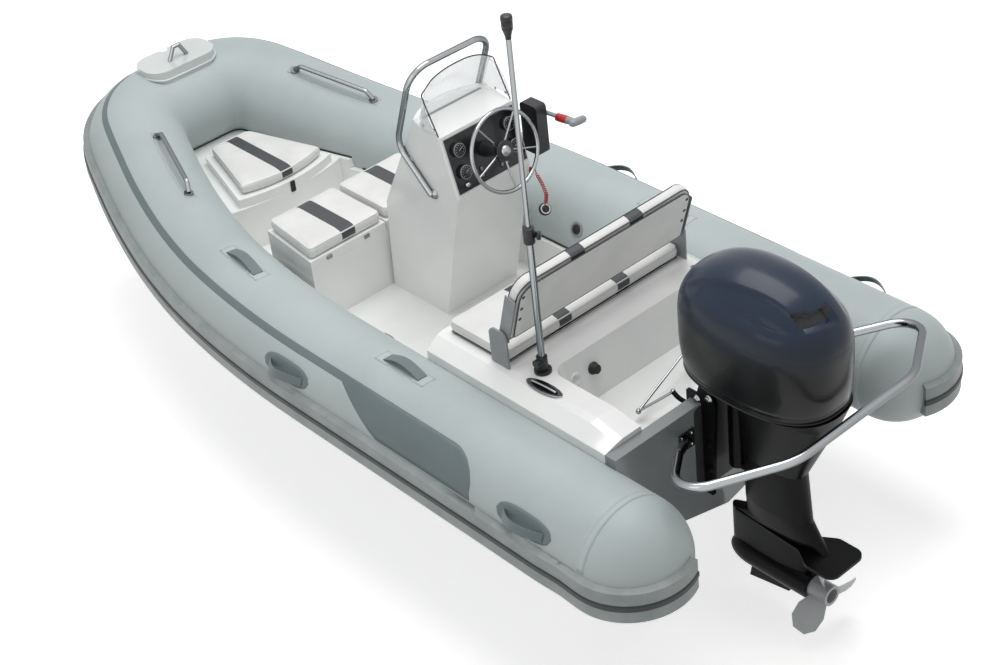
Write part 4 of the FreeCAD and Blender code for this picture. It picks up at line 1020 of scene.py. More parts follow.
@dataclass
class TubeDress:
    """Stripe, side panel, seam tapes, patches and valves glued to the tubes."""

    finishes: Finishes
    path: TubePath = field(default_factory=TubePath)
    stripe_low: float = 47.5
    stripe_high: float = 55.5
    rail_angle: float = 14.6
    panel_fore: float = 1.55
    panel_foot: float = 1.30
    panel_head: float = 0.95
    panel_aft: float = 0.80
    stripe_bow_gap: float = 0.17
    tape_width: float = 0.030
    tape_places: tuple[float, ...] = (0.262,)
    valve_places: tuple[Pair, ...] = ((1.70, 157.0), (0.62, 150.0))
    joints: tuple[Point, ...] = ((1.46, 2.962, 0.2085), (3.020, 4.00, 0.2550))
    bow_handle: Pair = (3.014, 3.431)
    straps: tuple[Pair, ...] = ((1.271, 1.466), (2.289, 2.508))
    side_handles: tuple[Pair, ...] = ((0.442, 0.637), (1.740, 1.934))
    apron_aft: float = 3.500
    apron_low: float = 0.199
    apron_high: float = 0.2515
    apron_overlap: float = 0.002
    bead_radius: float = 0.0042
    bead_lift: float = 0.0015
    step_bead_radius: float = 0.0045
    stripe_lift: float = 0.0009
    tape_lift: float = 0.0007
    tape_end: float = 332.0
    edge_sink: float = 0.0008
    pad_margin: float = 0.035

    def build(self) -> None:
        """Make the dress of both tubes."""
        for side, word in ((1, "port"), (-1, "starboard")):
            self.stripe(side, word)
            self.tapes(side, word)
            self.pads(side, word)
            for i, (forward, angle) in enumerate(self.valve_places):
                self.valve(side, f"valve_{word}_{i}", forward, angle)
            self.beads(side, word)
        self.step_bead()
        self.apron()

    def apron(self) -> None:
        """Close the bow deck between the locker's fore edge and the tubes."""
        end = self.path.half_length
        rim = [self.resting(s, self.apron_high, 1) for s in spread(self.path.station(3.30), end, 40)]
        rim = [spot for spot in rim if spot.x > STERN + self.apron_aft]
        sides = [(spot.x + self.apron_overlap, spot.y + self.apron_overlap) for spot in rim]
        outline = [(x, -y) for x, y in sides] + sides[::-1]
        frame_of = Matrix.Translation(Vector((0, 0, self.apron_low)))
        show(slab("bow_apron", outline, self.apron_high - self.apron_low, frame_of, 0.0005),
             self.finishes.gelcoat)

    def beads(self, side: int, word: str) -> None:
        """Run a dark bead along the joint of a tube with the hull and with the bow locker.

        Args:
            side: 1 for port and -1 for starboard.
            word: The side in words, for the names of the pieces.
        """
        for i, (aft, fore, height) in enumerate(self.joints):
            end = min(self.path.station(fore), self.path.half_length)
            route = [self.resting(s, height, side) for s in spread(self.path.station(aft), end, 40)]
            show(wire(f"joint_bead_{word}_{i}", route, self.bead_radius), self.finishes.insert)

    def resting(self, s: float, height: float, side: int) -> Vector:
        """Give the place on the inboard side of a tube at a height.

        Args:
            s: Distance along the tube from the stern.
            height: Height in the boat.
            side: 1 for port and -1 for starboard.

        Returns:
            The place on the skin.
        """
        low, high = 100.0, 260.0
        for _ in range(24):
            middle = (low + high) / 2
            if self.path.point(s, middle, 0.0, side).z > height:
                low = middle
            else:
                high = middle
        return self.path.point(s, low, self.bead_lift, side)

    def step_bead(self) -> None:
        """Seal the foot of the bow step where it meets the tube."""
        low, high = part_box("bow_step")
        crest = self.path.point(self.path.half_length, 90.0, 0.0, 1)
        length, width = high[0] - low[0], high[1] - low[1]
        route = []
        for a, b in rounded(length + 0.005, width + 0.005, length * 0.4, 8):
            x = (low[0] + high[0]) / 2 + a
            drop = self.path.radius - math.sqrt(self.path.radius ** 2 - (x - crest.x) ** 2)
            route.append(Vector((x, b, crest.z - drop + 0.001)))
        show(wire("step_bead", route, self.step_bead_radius, closed=True), self.finishes.step)

    def patch(self, name: str, stations: Sequence[float], span: Callable[[float], Pair], lift: float,
              side: int, look: Look, across: int = 6) -> None:
        """Lay a thin patch on a tube, its edges sunk into the skin.

        Args:
            name: The piece's name.
            stations: Distances along the tube.
            span: Lowest and highest angle at a distance along the tube.
            lift: Thickness of the patch.
            side: 1 for port and -1 for starboard.
            look: Its finish.
            across: Strips across the patch.
        """
        rows = [stations[0]] + list(stations) + [stations[-1]]
        points = []
        for k, s in enumerate(rows):
            low, high = span(s)
            outer = k in (0, len(rows) - 1)
            angles = [low] + spread(low, high, across) + [high]
            for i, angle in enumerate(angles):
                sunk = outer or i in (0, len(angles) - 1)
                points.append(self.path.point(s, angle, -self.edge_sink if sunk else lift, side))
        width = across + 3
        faces = []
        for r in range(len(rows) - 1):
            for i in range(width - 1):
                quad = (r * width + i, (r + 1) * width + i, (r + 1) * width + i + 1, r * width + i + 1)
                faces.append(quad if side == 1 else quad[::-1])
        show(from_mesh(name, points, faces), look)

    def stripe_span(self, s: float) -> Pair:
        """Give the stripe's edges, widening aft into the side panel.

        Args:
            s: Distance along the tube from the stern.

        Returns:
            Lowest and highest angle.
        """
        forward = self.path.sheer(self.path.plan(s)[0])[0]
        low, high = self.stripe_low, self.stripe_high
        if forward < self.panel_fore:
            share = max((forward - self.panel_foot) / (self.panel_fore - self.panel_foot), 0.0)
            low = mix(self.rail_angle, self.stripe_low, share ** 1.15)
        if forward < self.panel_head:
            share = min((self.panel_head - forward) / (self.panel_head - self.panel_aft), 1.0)
            high = mix(self.rail_angle + 0.2, self.stripe_high, math.sqrt(1 - share * share))
        return low, max(high, low + 0.2)

    def stripe(self, side: int, word: str) -> None:
        """Lay the dark stripe and its panel along the outside of a tube.

        Args:
            side: 1 for port and -1 for starboard.
            word: The side in words, for the names of the pieces.
        """
        start, end = self.path.station(self.panel_aft), self.path.half_length - self.stripe_bow_gap
        stations = spread(start, self.path.station(self.panel_fore), 70)
        stations += spread(self.path.station(self.panel_fore), end, 110)[1:]
        self.patch(f"stripe_{word}", stations, self.stripe_span, self.stripe_lift, side,
                   self.finishes.dark_fabric, across=10)

    def tapes(self, side: int, word: str) -> None:
        """Wrap seam tapes round a tube from the strake over the top and underneath.

        Args:
            side: 1 for port and -1 for starboard.
            word: The side in words, for the names of the pieces.
        """
        for i, forward in enumerate(self.tape_places):
            s = self.path.station(forward)
            stations = spread(s - self.tape_width / 2, s + self.tape_width / 2, 2)
            self.patch(f"seam_tape_{word}_{i}", stations, lambda _: (self.rail_angle, self.tape_end),
                       self.tape_lift, side, self.finishes.tube_patch, across=90)

    def pads(self, side: int, word: str) -> None:
        """Glue the patches that carry the bow handle, the straps and the side handles.

        Args:
            side: 1 for port and -1 for starboard.
            word: The side in words, for the names of the pieces.
        """
        aft, fore = (self.path.station(forward) for forward in self.bow_handle)
        self.patch(f"handle_base_{word}", spread(aft - 0.03, fore + 0.03, 24), lambda _: (95.0, 107.0),
                   0.0016, side, self.finishes.tube_patch)
        for i, ends in enumerate(self.straps):
            for j, forward in enumerate(ends):
                s = self.path.station(forward)
                self.patch(f"strap_pad_{word}_{i}{j}", spread(s - self.pad_margin, s + self.pad_margin, 6),
                           lambda _: (84.0, 102.0), 0.0012, side, self.finishes.tube_patch)
        for i, (aft, fore) in enumerate(self.side_handles):
            middle, half = (aft + fore) / 2, (fore - aft) / 2 + self.pad_margin
            stations = spread(self.path.station(middle - half), self.path.station(middle + half), 24)
            self.patch(f"side_handle_pad_{word}_{i}", stations,
                       lambda s, m=middle, h=half: self.oval_span(s, m, h, 26.0, 11.0), 0.0014, side,
                       self.finishes.dark_fabric)

    def oval_span(self, s: float, middle: float, half: float, angle: float, reach: float) -> Pair:
        """Give the edges of an oval patch at a distance along the tube.

        Args:
            s: Distance along the tube from the stern.
            middle: Forward place of its middle.
            half: Half its length.
            angle: Angle of its middle round the section.
            reach: Half its breadth, as an angle.

        Returns:
            Lowest and highest angle.
        """
        share = min(abs(self.path.sheer(self.path.plan(s)[0])[0] - middle) / half, 1.0)
        rise = reach * math.sqrt(max(1 - share ** 3, 0.0)) + 0.1
        return angle - rise, angle + rise

    def valve(self, side: int, name: str, forward: float, angle: float) -> None:
        """Set an inflation valve and its ring in the inboard side of a tube.

        Args:
            side: 1 for port and -1 for starboard.
            name: The piece's name.
            forward: Place forward of the stern.
            angle: Angle round the section.
        """
        s = self.path.station(forward)
        place = self.path.point(s, angle, -0.001, side)
        out = self.path.point(s, angle, 0.05, side) - place
        ring = ((0.034, 0.0), (0.034, 0.003), (0.031, 0.005), (0.024, 0.005), (0.022, 0.003), (0.001, 0.003))
        show(turned(name + "_ring", ring, place, out), self.finishes.grey)
        cap = ((0.020, 0.002), (0.020, 0.007), (0.018, 0.009), (0.008, 0.010), (0.001, 0.010))
        show(turned(name + "_cap", cap, place, out), self.finishes.rubber)


@dataclass
class Cushion:
    """One upholstered pad: a crowned closed form with dark sewn bands and piping."""

    name: str
    nodes: tuple[str, ...]
    body: str
    outline: list[Pair]
    low: float
    high: float
    fabric: Look
    piping: Look
    lean: float = 0.0
    hinge: Pair = (0.0, 0.0)
    corner: float = 0.012
    voxel: float = 0.007
    travel: float = 0.007
    shrink: float = 0.005
    fill: float = 0.85
    crown: float = 0.0015
    floor_gap: float = 0.0008
    seam: float = 0.004
    piping_radius: float = 0.0028
    piping_inset: float = 0.0035
    piping_step: float = 0.05
    pressure: float = 4.0
    frames: int = 20

    def build(self) -> None:
        """Make the pad, blow it up as foam under tension does, and sew its edge."""
        pad = self.block()
        pad = self.stuff(pad)
        soft = pad.modifiers.new("smooth", "SUBSURF")
        soft.levels = soft.render_levels = 1
        skin = BVHTree.FromPolygons([v.co.copy() for v in pad.data.vertices],
                                    [tuple(face.vertices) for face in pad.data.polygons])
        self.tip(pad.data.vertices)
        show(pad, self.fabric, self.body)
        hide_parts(*self.nodes)
        for end, height in (("top", self.high - self.seam), ("base", self.low + self.seam)):
            edge = wire(f"{self.name}_piping_{end}", self.edge_route(height, skin), self.piping_radius,
                        closed=True)
            show(edge, self.piping, self.body)

    def middle(self) -> Vector:
        """Centre of the outline."""
        count = len(self.outline)
        return Vector((sum(p[0] for p in self.outline) / count, sum(p[1] for p in self.outline) / count, 0.0))

    def inset(self, amount: float) -> list[Vector]:
        """Give the outline pulled in towards its middle by about an amount.

        Args:
            amount: How far to pull it in.

        Returns:
            The points of the smaller outline.
        """
        centre = self.middle()
        points = []
        for x, y in self.outline:
            reach = Vector((x, y, 0.0)) - centre
            scale = Vector((1 - amount / max(abs(reach.x), amount * 2),
                            1 - amount / max(abs(reach.y), amount * 2), 0))
            points.append(centre + Vector((reach.x * scale.x, reach.y * scale.y, 0.0)))
        return points

    def block(self) -> bpy.types.Object:
        """Cut the foam block, a little smaller than the finished pad.

        Returns:
            The block.
        """
        ring = self.inset(self.shrink)
        low, high = self.low + self.shrink / 2, self.high - self.shrink
        count = len(ring)
        points = [Vector((p.x, p.y, z)) for z in (low, high) for p in ring]
        obj = from_mesh(self.name, points, ring_faces(count, 2) + [tuple(reversed(range(count))),
                                                                    tuple(range(count, 2 * count))])
        form = bmesh.new()
        form.from_mesh(obj.data)
        bmesh.ops.bevel(form, geom=form.edges[:], offset=self.corner, segments=3, affect="EDGES", profile=0.6)
        bmesh.ops.recalc_face_normals(form, faces=form.faces[:])
        form.to_mesh(obj.data)
        form.free()
        for face in obj.data.polygons:
            face.use_smooth = True
        return obj

    def stuff(self, pad: bpy.types.Object) -> bpy.types.Object:
        """Remesh the block and let pressure crown it, with its movement capped.

        Args:
            pad: The foam block.

        Returns:
            The same pad, blown up.
        """
        scene = bpy.context.scene
        scene.collection.objects.link(pad)
        remesh = pad.modifiers.new("cells", "REMESH")
        remesh.mode = "VOXEL"
        remesh.voxel_size = self.voxel
        cells = self.evaluated(pad)
        pad.modifiers.clear()
        pad.data = cells
        start = [v.co.copy() for v in cells.vertices]
        cloth = pad.modifiers.new("stuffing", "CLOTH")
        cloth.settings.use_pressure = True
        cloth.settings.uniform_pressure_force = self.pressure
        cloth.settings.effector_weights.gravity = 0.0
        cloth.settings.quality = 4
        cloth.point_cache.frame_start = 1
        cloth.point_cache.frame_end = self.frames
        for number in range(1, self.frames + 1):
            scene.frame_set(number)
        blown = self.evaluated(pad)
        pad.modifiers.clear()
        pad.data = blown
        for vertex, before in zip(blown.vertices, start):
            move = vertex.co - before
            if move.length > self.travel:
                move *= self.travel / move.length
            vertex.co = before + move
        self.fit(blown.vertices)
        scene.frame_set(1)
        scene.collection.objects.unlink(pad)
        for face in blown.polygons:
            face.use_smooth = True
        return pad

    def fit(self, vertices: Iterable[bpy.types.MeshVertex]) -> None:
        """Stretch the blown pad so that it fills its cover's outline and height.

        Args:
            vertices: The pad's vertices.
        """
        xs, ys = [p[0] for p in self.outline], [p[1] for p in self.outline]
        want = ((min(xs), max(xs)), (min(ys), max(ys)), (self.low + self.floor_gap, self.high + self.crown))
        for axis, (low, high) in enumerate(want):
            found = [v.co[axis] for v in vertices]
            least, size = min(found), max(found) - min(found)
            for vertex in vertices:
                vertex.co[axis] = low + (vertex.co[axis] - least) / size * (high - low)

    def evaluated(self, obj: bpy.types.Object) -> bpy.types.Mesh:
        """Give a new mesh with the object's modifiers applied."""
        graph = bpy.context.evaluated_depsgraph_get()
        return bpy.data.meshes.new_from_object(obj.evaluated_get(graph))

    def edge_route(self, height: float, skin: BVHTree) -> list[Vector]:
        """Give the route of the piping laid on the pad's skin near a height, tipped with the pad.

        Args:
            height: Height of the seam.
            skin: The pad's surface, before it is tipped.

        Returns:
            The route's points.
        """
        route = []
        ring = self.inset(self.piping_inset)
        for i, spot in enumerate(ring):
            following = ring[(i + 1) % len(ring)]
            count = max(int((following - spot).length / self.piping_step), 1)
            for k in range(count):
                place = spot.lerp(following, k / count) + Vector((0, 0, height))
                route.append(skin.find_nearest(place)[0])
        return [self.tipped(p) for p in route]

    def tipped(self, place: Vector) -> Vector:
        """Turn a place about the hinge line by the pad's lean.

        Args:
            place: A place of the lying pad.

        Returns:
            The place once the pad is tipped.
        """
        turn = Matrix.Rotation(-self.lean, 3, "Y")
        centre = Vector((self.hinge[0], 0, self.hinge[1]))
        return centre + turn @ (place - centre)

    def tip(self, vertices: Iterable[bpy.types.MeshVertex]) -> None:
        """Tip every vertex of the pad.

        Args:
            vertices: The pad's vertices.
        """
        if self.lean:
            for vertex in vertices:
                vertex.co = self.tipped(vertex.co)


@dataclass
class Upholstery:
    """All the pads of the boat."""

    finishes: Finishes
    bench_corner: float = 0.022
    front_corner: float = 0.020
    front_taper: float = 0.034
    bow_bulge: float = 0.046
    bow_half_fore: float = 0.103
    back_height: float = 0.272
    back_thickness: float = 0.040
    back_half: float = 0.440
    back_low: float = -0.0115
    back_corners: Pair = (0.012, 0.070)
    board_corners: Pair = (0.010, 0.056)
    board_width: float = 0.846
    board_margin: float = 0.034

    def build(self) -> None:
        """Make each pad in the place that its CAD node holds."""
        for pad in (*self.seats(), self.bow(), self.back()):
            pad.build()
        self.back_board()

    def back_board(self) -> None:
        """Fix the backrest's trimmed board over the back of its pad."""
        pad = self.back()
        centre = pad.tipped(Vector((0.0, 0.0, pad.low - 0.0004)))
        aft = (pad.tipped(Vector((0.0, 0.0, pad.low - 1.0))) - centre).normalized()
        down = pad.tipped(Vector((1.0, 0.0, 0.0))) - pad.tipped(Vector((0.0, 0.0, 0.0)))
        near, far = self.board_corners
        outline = rounded(pad.height - self.board_margin, self.board_width, near, 8, far)
        show(slab("back_board", outline, 0.0026, facing(centre, aft, down), 0.0010), self.finishes.vinyl,
             "backrest")
        edge = [facing(centre, aft, down) @ Vector((x, y, 0.001)) for x, y in outline]
        show(wire("back_board_piping", edge, 0.0026, closed=True), self.finishes.dark_vinyl, "backrest")

    def seats(self) -> list[Cushion]:
        """Give the bench pad and the two front pads.

        Returns:
            The three pads.
        """
        pads = []
        low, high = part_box("bench_cushion")
        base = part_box("bench_board")[0][2] + 0.006
        pads.append(Cushion("bench_pad", ("bench_cushion", "bench_board"), "boat",
                            self.rectangle(low, high, self.bench_corner), base,
                            high[2], self.finishes.bench_vinyl, self.finishes.vinyl, voxel=0.0075))
        for node, body in (("front_cushion_port", "port_seat_lid"),
                           ("front_cushion_starboard", "starboard_seat_lid")):
            low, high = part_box(node)
            pads.append(Cushion(node.replace("cushion", "pad"), (node,), body, self.tapered(low, high),
                                low[2], high[2], self.finishes.front_vinyl, self.finishes.vinyl))
        return pads

    def rectangle(self, low: Sequence[float], high: Sequence[float], corner: float) -> list[Pair]:
        """Give a round-cornered outline that fills a box's plan."""
        x, y = (low[0] + high[0]) / 2, (low[1] + high[1]) / 2
        return [(x + a, y + b) for a, b in rounded(high[0] - low[0], high[1] - low[1], corner, 4)]

    def tapered(self, low: Sequence[float], high: Sequence[float]) -> list[Pair]:
        """Give the plan of a front pad, narrower at its fore end.

        Args:
            low: Lowest corner of the box.
            high: Highest corner of the box.

        Returns:
            The outline's points.
        """
        points = []
        outer_high, taper = high[1] > abs(low[1]), self.front_taper
        for x, y in self.rectangle(low, high, self.front_corner):
            share = (x - low[0]) / (high[0] - low[0])
            across = (y - low[1]) / (high[1] - low[1])
            points.append((x, y - taper * share * across if outer_high else y + taper * share * (1 - across)))
        return points

    def bow(self) -> Cushion:
        """Give the bow pad, with a bowed aft edge and a narrower fore end.

        Returns:
            The pad.
        """
        low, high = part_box("bow_cushion")
        half = high[1]
        aft = [(low[0] + self.bow_bulge * (y / half) ** 2, y) for y in spread(-half + 0.012, half - 0.012,
                                                                              10)]
        fore = [(high[0] - 0.004, y) for y in spread(self.bow_half_fore, -self.bow_half_fore, 4)]
        outline = aft + fore
        return Cushion("bow_pad", ("bow_cushion",), "bow_locker_lid", outline[::-1], low[2], high[2],
                       self.finishes.bow_vinyl, self.finishes.vinyl)

    def back(self) -> Cushion:
        """Give the backrest's pad, built lying down and then stood up and tipped aft.

        Returns:
            The pad.
        """
        near, far = self.back_corners
        pad = BackPad("back_pad", ("backrest_cushion", "backrest_panel"), "backrest",
                      rounded(self.back_height, 2 * self.back_half, near, 8, far), self.back_low,
                      self.back_thickness, self.finishes.back_vinyl, self.finishes.dark_vinyl, travel=0.006)
        pad.lean, pad.hinge = BACK_LEAN, (STERN + BACK_FORWARD, BACK_UP)
        pad.height = self.back_height
        return pad


@dataclass
class BackPad(Cushion):
    """Backrest pad, cut lying down and stood up at its hinge line."""

    height: float = 0.272

    def tipped(self, place: Vector) -> Vector:
        """Stand a place of the lying pad up and lean it aft.

        Args:
            place: A place of the lying pad.

        Returns:
            The place once the pad is tipped.
        """
        upright = Vector((place.z, place.y, self.height / 2 - place.x))
        turn = Matrix.Rotation(-self.lean, 3, "Y")
        return Vector((self.hinge[0], 0, self.hinge[1])) + turn @ upright


# Helm, motor and fittings


def row(forward_mm: float, port_mm: float, up_mm: float) -> Vector:
    """Turn a place in millimetres from the stern into the boat's frame."""
    return at(forward_mm / 1000, port_mm / 1000, up_mm / 1000)


@dataclass
class Cowl:
    """Engine cover with a hood, a side crease, an air slot and a trim lip."""

    finishes: Finishes
    aft: float = -0.068
    fore: float = 0.582
    half: float = 0.198
    low: float = 0.548
    top: float = 1.007
    shoulder: float = 0.45
    around: int = 160
    up_rows: int = 34
    dome_rows: int = 56
    tuck: float = 0.055
    tuck_to: float = 0.3
    dome_power: float = 2.4
    dome_root: float = 0.4545
    corner_power: float = 0.82
    hood_depth: float = 0.009
    crease_depth: float = 0.006
    split_depth: float = 0.0016
    foot_depth: float = 0.0030
    slot_depth: float = 0.026

    def build(self) -> None:
        """Make the cover and its lip."""
        points, rows = [], self.rows()
        for z, share in rows:
            points += [self.shape(z, share, i) for i in range(self.around)]
        count = len(rows)
        faces = ring_faces(self.around, count)
        faces.append(tuple(range((count - 1) * self.around, count * self.around)))
        faces.append(tuple(reversed(range(self.around))))
        cover = from_mesh("engine_cover", points, faces)
        show(cover, self.finishes.cowl, "motor")
        # Painted shade: the air slot's faces take black, standing for the shade inside the deep opening.
        cover.data.materials.append(self.finishes.black.material)
        for face in cover.data.polygons:
            if self.in_slot(face.center):
                face.material_index = 1
        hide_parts("cowl_cap", "cowl_cover")
        lip = [self.skin(self.low + 0.004, self.share(0.0), i, 0.0015) for i in range(0, self.around, 4)]
        show(wire("cover_lip", lip, 0.0038, closed=True), self.finishes.rubber, "motor")

    def share(self, t: float) -> float:
        """Give the plan's share of its full size at a share of the height.

        Args:
            t: Share of the height.

        Returns:
            The plan's share of its full size.
        """
        if t < self.tuck_to:
            return 1 - self.tuck * (1 - t / self.tuck_to) ** 2
        if t <= self.shoulder:
            return 1.0
        u = min((t - self.shoulder) / (1 - self.shoulder), 1.0)
        return max(1 - u ** self.dome_power, 0.0) ** self.dome_root

    def rows(self) -> list[Pair]:
        """Give the height and plan share of every ring, closer together up the dome.

        Returns:
            Height and plan share of each ring.
        """
        height = self.top - self.low
        shares = [self.shoulder * i / self.up_rows for i in range(self.up_rows)]
        for i in range(self.dome_rows):
            shares.append(self.shoulder + (1 - self.shoulder) * math.sin(math.pi / 2 * i / self.dome_rows))
        return [(self.low + height * t, self.share(t)) for t in shares]

    def skin(self, z: float, share: float, i: int, grow: float) -> Vector:
        """Give a point of the plain oval ring.

        Args:
            z: Height of the ring.
            share: The plan's share of its full size.
            i: Number of the point in the ring.
            grow: Distance outside the plain oval.

        Returns:
            The point.
        """
        a = 2 * math.pi * i / self.around
        c, s = math.cos(a), math.sin(a)
        middle, reach = (self.aft + self.fore) / 2, (self.fore - self.aft) / 2
        x = middle + (reach * share + grow) * math.copysign(abs(c) ** self.corner_power, c)
        y = (self.half * share + grow) * math.copysign(abs(s) ** self.corner_power, s)
        return at(x, y, z)

    def shape(self, z: float, share: float, i: int) -> Vector:
        """Give a point of the cover with its creases pressed in.

        Args:
            z: Height of the ring.
            share: The plan's share of its full size.
            i: Number of the point in the ring.

        Returns:
            The point.
        """
        spot = self.skin(z, share, i, 0.0)
        x, y = spot.x - STERN, abs(spot.y)
        sink = 0.0
        hood = mix(0.088, 0.118, smooth_step(0.02, 0.40, x))
        sink += self.hood_depth * smooth_step(hood - 0.004, hood + 0.018, y) * smooth_step(0.86, 0.92, z)
        crease_z = mix(0.898, 0.922, smooth_step(0.05, 0.24, x))
        along = smooth_step(0.02, 0.07, x) * (1 - smooth_step(0.20, 0.27, x))
        below = smooth_step(crease_z - 0.022, crease_z - 0.003, z)
        above = 1 - smooth_step(crease_z - 0.003, crease_z + 0.012, z)
        sink += self.crease_depth * along * below * smooth_step(0.09, 0.14, y) * above
        sink += self.split_depth * math.exp(-((z - 0.806) / 0.0022) ** 2) * (1 - smooth_step(0.10, 0.30, x))
        sink += self.foot_depth * math.exp(-((z - 0.578) / 0.003) ** 2)
        if self.in_slot(spot):
            sink += self.slot_depth
        middle = at((self.aft + self.fore) / 2, 0, 0.70)
        inward = middle - spot
        inward.z *= 0.45
        return spot + inward.normalized() * sink

    def in_slot(self, spot: Vector) -> bool:
        """Tell whether a place lies in the air slot across the aft top.

        Args:
            spot: A place of the cover.

        Returns:
            Whether it lies there.
        """
        x = spot.x - STERN
        share = (spot.y + 0.030) / 0.122
        if not 0 < share < 1 or x > 0.12:
            return False
        return 0.898 + 0.008 * share < spot.z < 0.940 + 0.004 * share


@dataclass
class Dash:
    """Dials, switches, wheel hub, screen trim and engine control details."""

    finishes: Finishes
    low: Vector = field(default_factory=lambda: row(1804, 0, 652))
    high: Vector = field(default_factory=lambda: row(1874, 0, 896))
    port: float = 0.008
    starboard: float = -0.372
    plate: float = 0.0053
    gauge_depth: float = 0.0143
    screen_top: float = 1.120
    screen_half: float = 0.184
    screen_reach: float = 0.210
    screen_drop: float = 0.080
    dials: tuple[Pair, ...] = ((0.16, 0.72), (0.16, 0.36), (0.84, 0.72), (0.84, 0.36))

    @property
    def up(self) -> Vector:
        """Direction up the dash."""
        return (self.high - self.low).normalized()

    @property
    def out(self) -> Vector:
        """Direction out of the dash."""
        return Vector((-self.up.z, 0, self.up.x))

    def on(self, across: float, share: float, lift: float) -> Vector:
        """Give a place on the dash by shares of its width and height."""
        spot = self.low.lerp(self.high, share) + self.out * lift
        return Vector((spot.x, mix(self.starboard, self.port, across), spot.z))

    def build(self) -> None:
        """Make every detail of the helm."""
        for i, (across, share) in enumerate(self.dials):
            self.dial(i, self.on(across, share, self.plate + self.gauge_depth))
        self.switches()
        self.hub()
        self.screen_trim()
        self.console_trim()
        self.lever()

    def dial(self, i: int, place: Vector) -> None:
        """Put a bezel, a face with unlettered ticks and a needle on a gauge.

        Args:
            i: The gauge's number.
            place: Middle of the gauge's face.
        """
        bezel = ((0.0272, -0.001), (0.0278, 0.0012), (0.0272, 0.0022), (0.0256, 0.0022))
        show(turned(f"dial_bezel_{i}", bezel, place, self.out), self.finishes.grey)
        face = ((0.0252, -0.0005), (0.0252, 0.0024), (0.0246, 0.0026), (0.0005, 0.0026))
        show(turned(f"dial_face_{i}", face, place, self.out), self.finishes.dash)
        across = self.out.cross(self.up)
        for k in range(9):
            a = math.radians(220 - 260 * k / 8)
            ray = across * math.cos(a) + self.up * math.sin(a)
            tick = slab(f"dial_tick_{i}{k}", rounded(0.0042, 0.0011, 0.0004, 2), 0.0005,
                        facing(place + ray * 0.0188 + self.out * 0.0025, self.out, ray), 0.0001)
            show(tick, self.finishes.white)
        needle_way = (across * -0.6 + self.up * 0.35).normalized()
        needle = slab(f"dial_needle_{i}", rounded(0.018, 0.0012, 0.0005, 2), 0.0006,
                      facing(place + needle_way * 0.006 + self.out * 0.0025, self.out, needle_way), 0.0001)
        show(needle, self.finishes.white)

    def switches(self) -> None:
        """Set rows of rocker switches and a key barrel in the dash."""
        for k, across in enumerate((0.30, 0.37, 0.63, 0.70)):
            for j, share in enumerate((0.17, 0.27)):
                frame_of = facing(self.on(across, share, self.plate), self.out, self.up)
                show(slab(f"switch_case_{k}{j}", rounded(0.022, 0.014, 0.002, 3), 0.003, frame_of, 0.0008),
                     self.finishes.black)
                tip = facing(self.on(across, share, self.plate + 0.0026) + self.up * 0.002,
                             self.out - self.up * 0.25, self.up)
                show(slab(f"switch_rocker_{k}{j}", rounded(0.013, 0.009, 0.0015, 3), 0.004, tip, 0.0008),
                     self.finishes.grey)
        barrel = ((0.012, 0.0), (0.012, 0.004), (0.009, 0.006), (0.0085, 0.011), (0.001, 0.011))
        show(turned("key_barrel", barrel, self.on(0.84, 0.15, self.plate), self.out), self.finishes.steel)

    def hub(self) -> None:
        """Cap the wheel's hub with a black dish and a polished dome."""
        centre = self.on(0.5, 0.52, self.plate + 0.118)
        dish = ((0.030, -0.010), (0.038, -0.004), (0.041, 0.003), (0.038, 0.006), (0.022, 0.006),
                (0.001, 0.006))
        show(turned("wheel_dish", dish, centre, self.out), self.finishes.black, "helm")
        dome = ((0.024, 0.006), (0.024, 0.009), (0.021, 0.014), (0.015, 0.018), (0.007, 0.020),
                (0.0005, 0.0205))
        show(turned("wheel_dome", dome, centre, self.out), self.finishes.steel, "helm")

    def crest(self, off: float) -> float:
        """Give the height of the screen's bowed top at a distance from its middle."""
        radius = (self.screen_reach ** 2 + self.screen_drop ** 2) / (2 * self.screen_drop)
        return self.screen_top - radius + math.sqrt(radius ** 2 - off ** 2)

    def screen_trim(self) -> None:
        """Bind the screen's top and wing edges with a dark bead."""
        middle, half = (self.port + self.starboard) / 2, self.screen_half
        inner = half - 0.008
        edge = [v.co.copy() for v in frame["nodes"]["windscreen"].data.vertices
                if abs(v.co.y - middle) < inner and abs(v.co.z - self.crest(v.co.y - middle)) < 0.0012]
        top = []
        for y in spread(middle - half + 0.008, middle + half - 0.008, 30):
            near = [p for p in edge if abs(p.y - y) < 0.014]
            if near:
                top.append(Vector((sum(p.x for p in near) / len(near), y, self.crest(y - middle))))
        wing = ((1882, 899), (1906, 948), (1932, 1000), (1948, 1036), (1955, 1054))
        starboard, port = ([at(x / 1000, middle + side * (half + 0.002), z / 1000) for x,
                            z in wing] for side in (-1, 1))
        route = starboard + top + port[::-1]
        show(wire("screen_bead", route, 0.0026), self.finishes.rubber)
        for side in (-1, 1):
            for k, x in enumerate((1905, 1965)):
                place = at(x / 1000, middle + side * 0.1845, 0.921)
                screw = ((0.006, 0.0), (0.0058, 0.0018), (0.004, 0.0028), (0.0005, 0.003))
                show(turned(f"screen_screw_{side + 1}{k}", screw, place, Vector((0, side, 0)), 20),
                     self.finishes.steel)

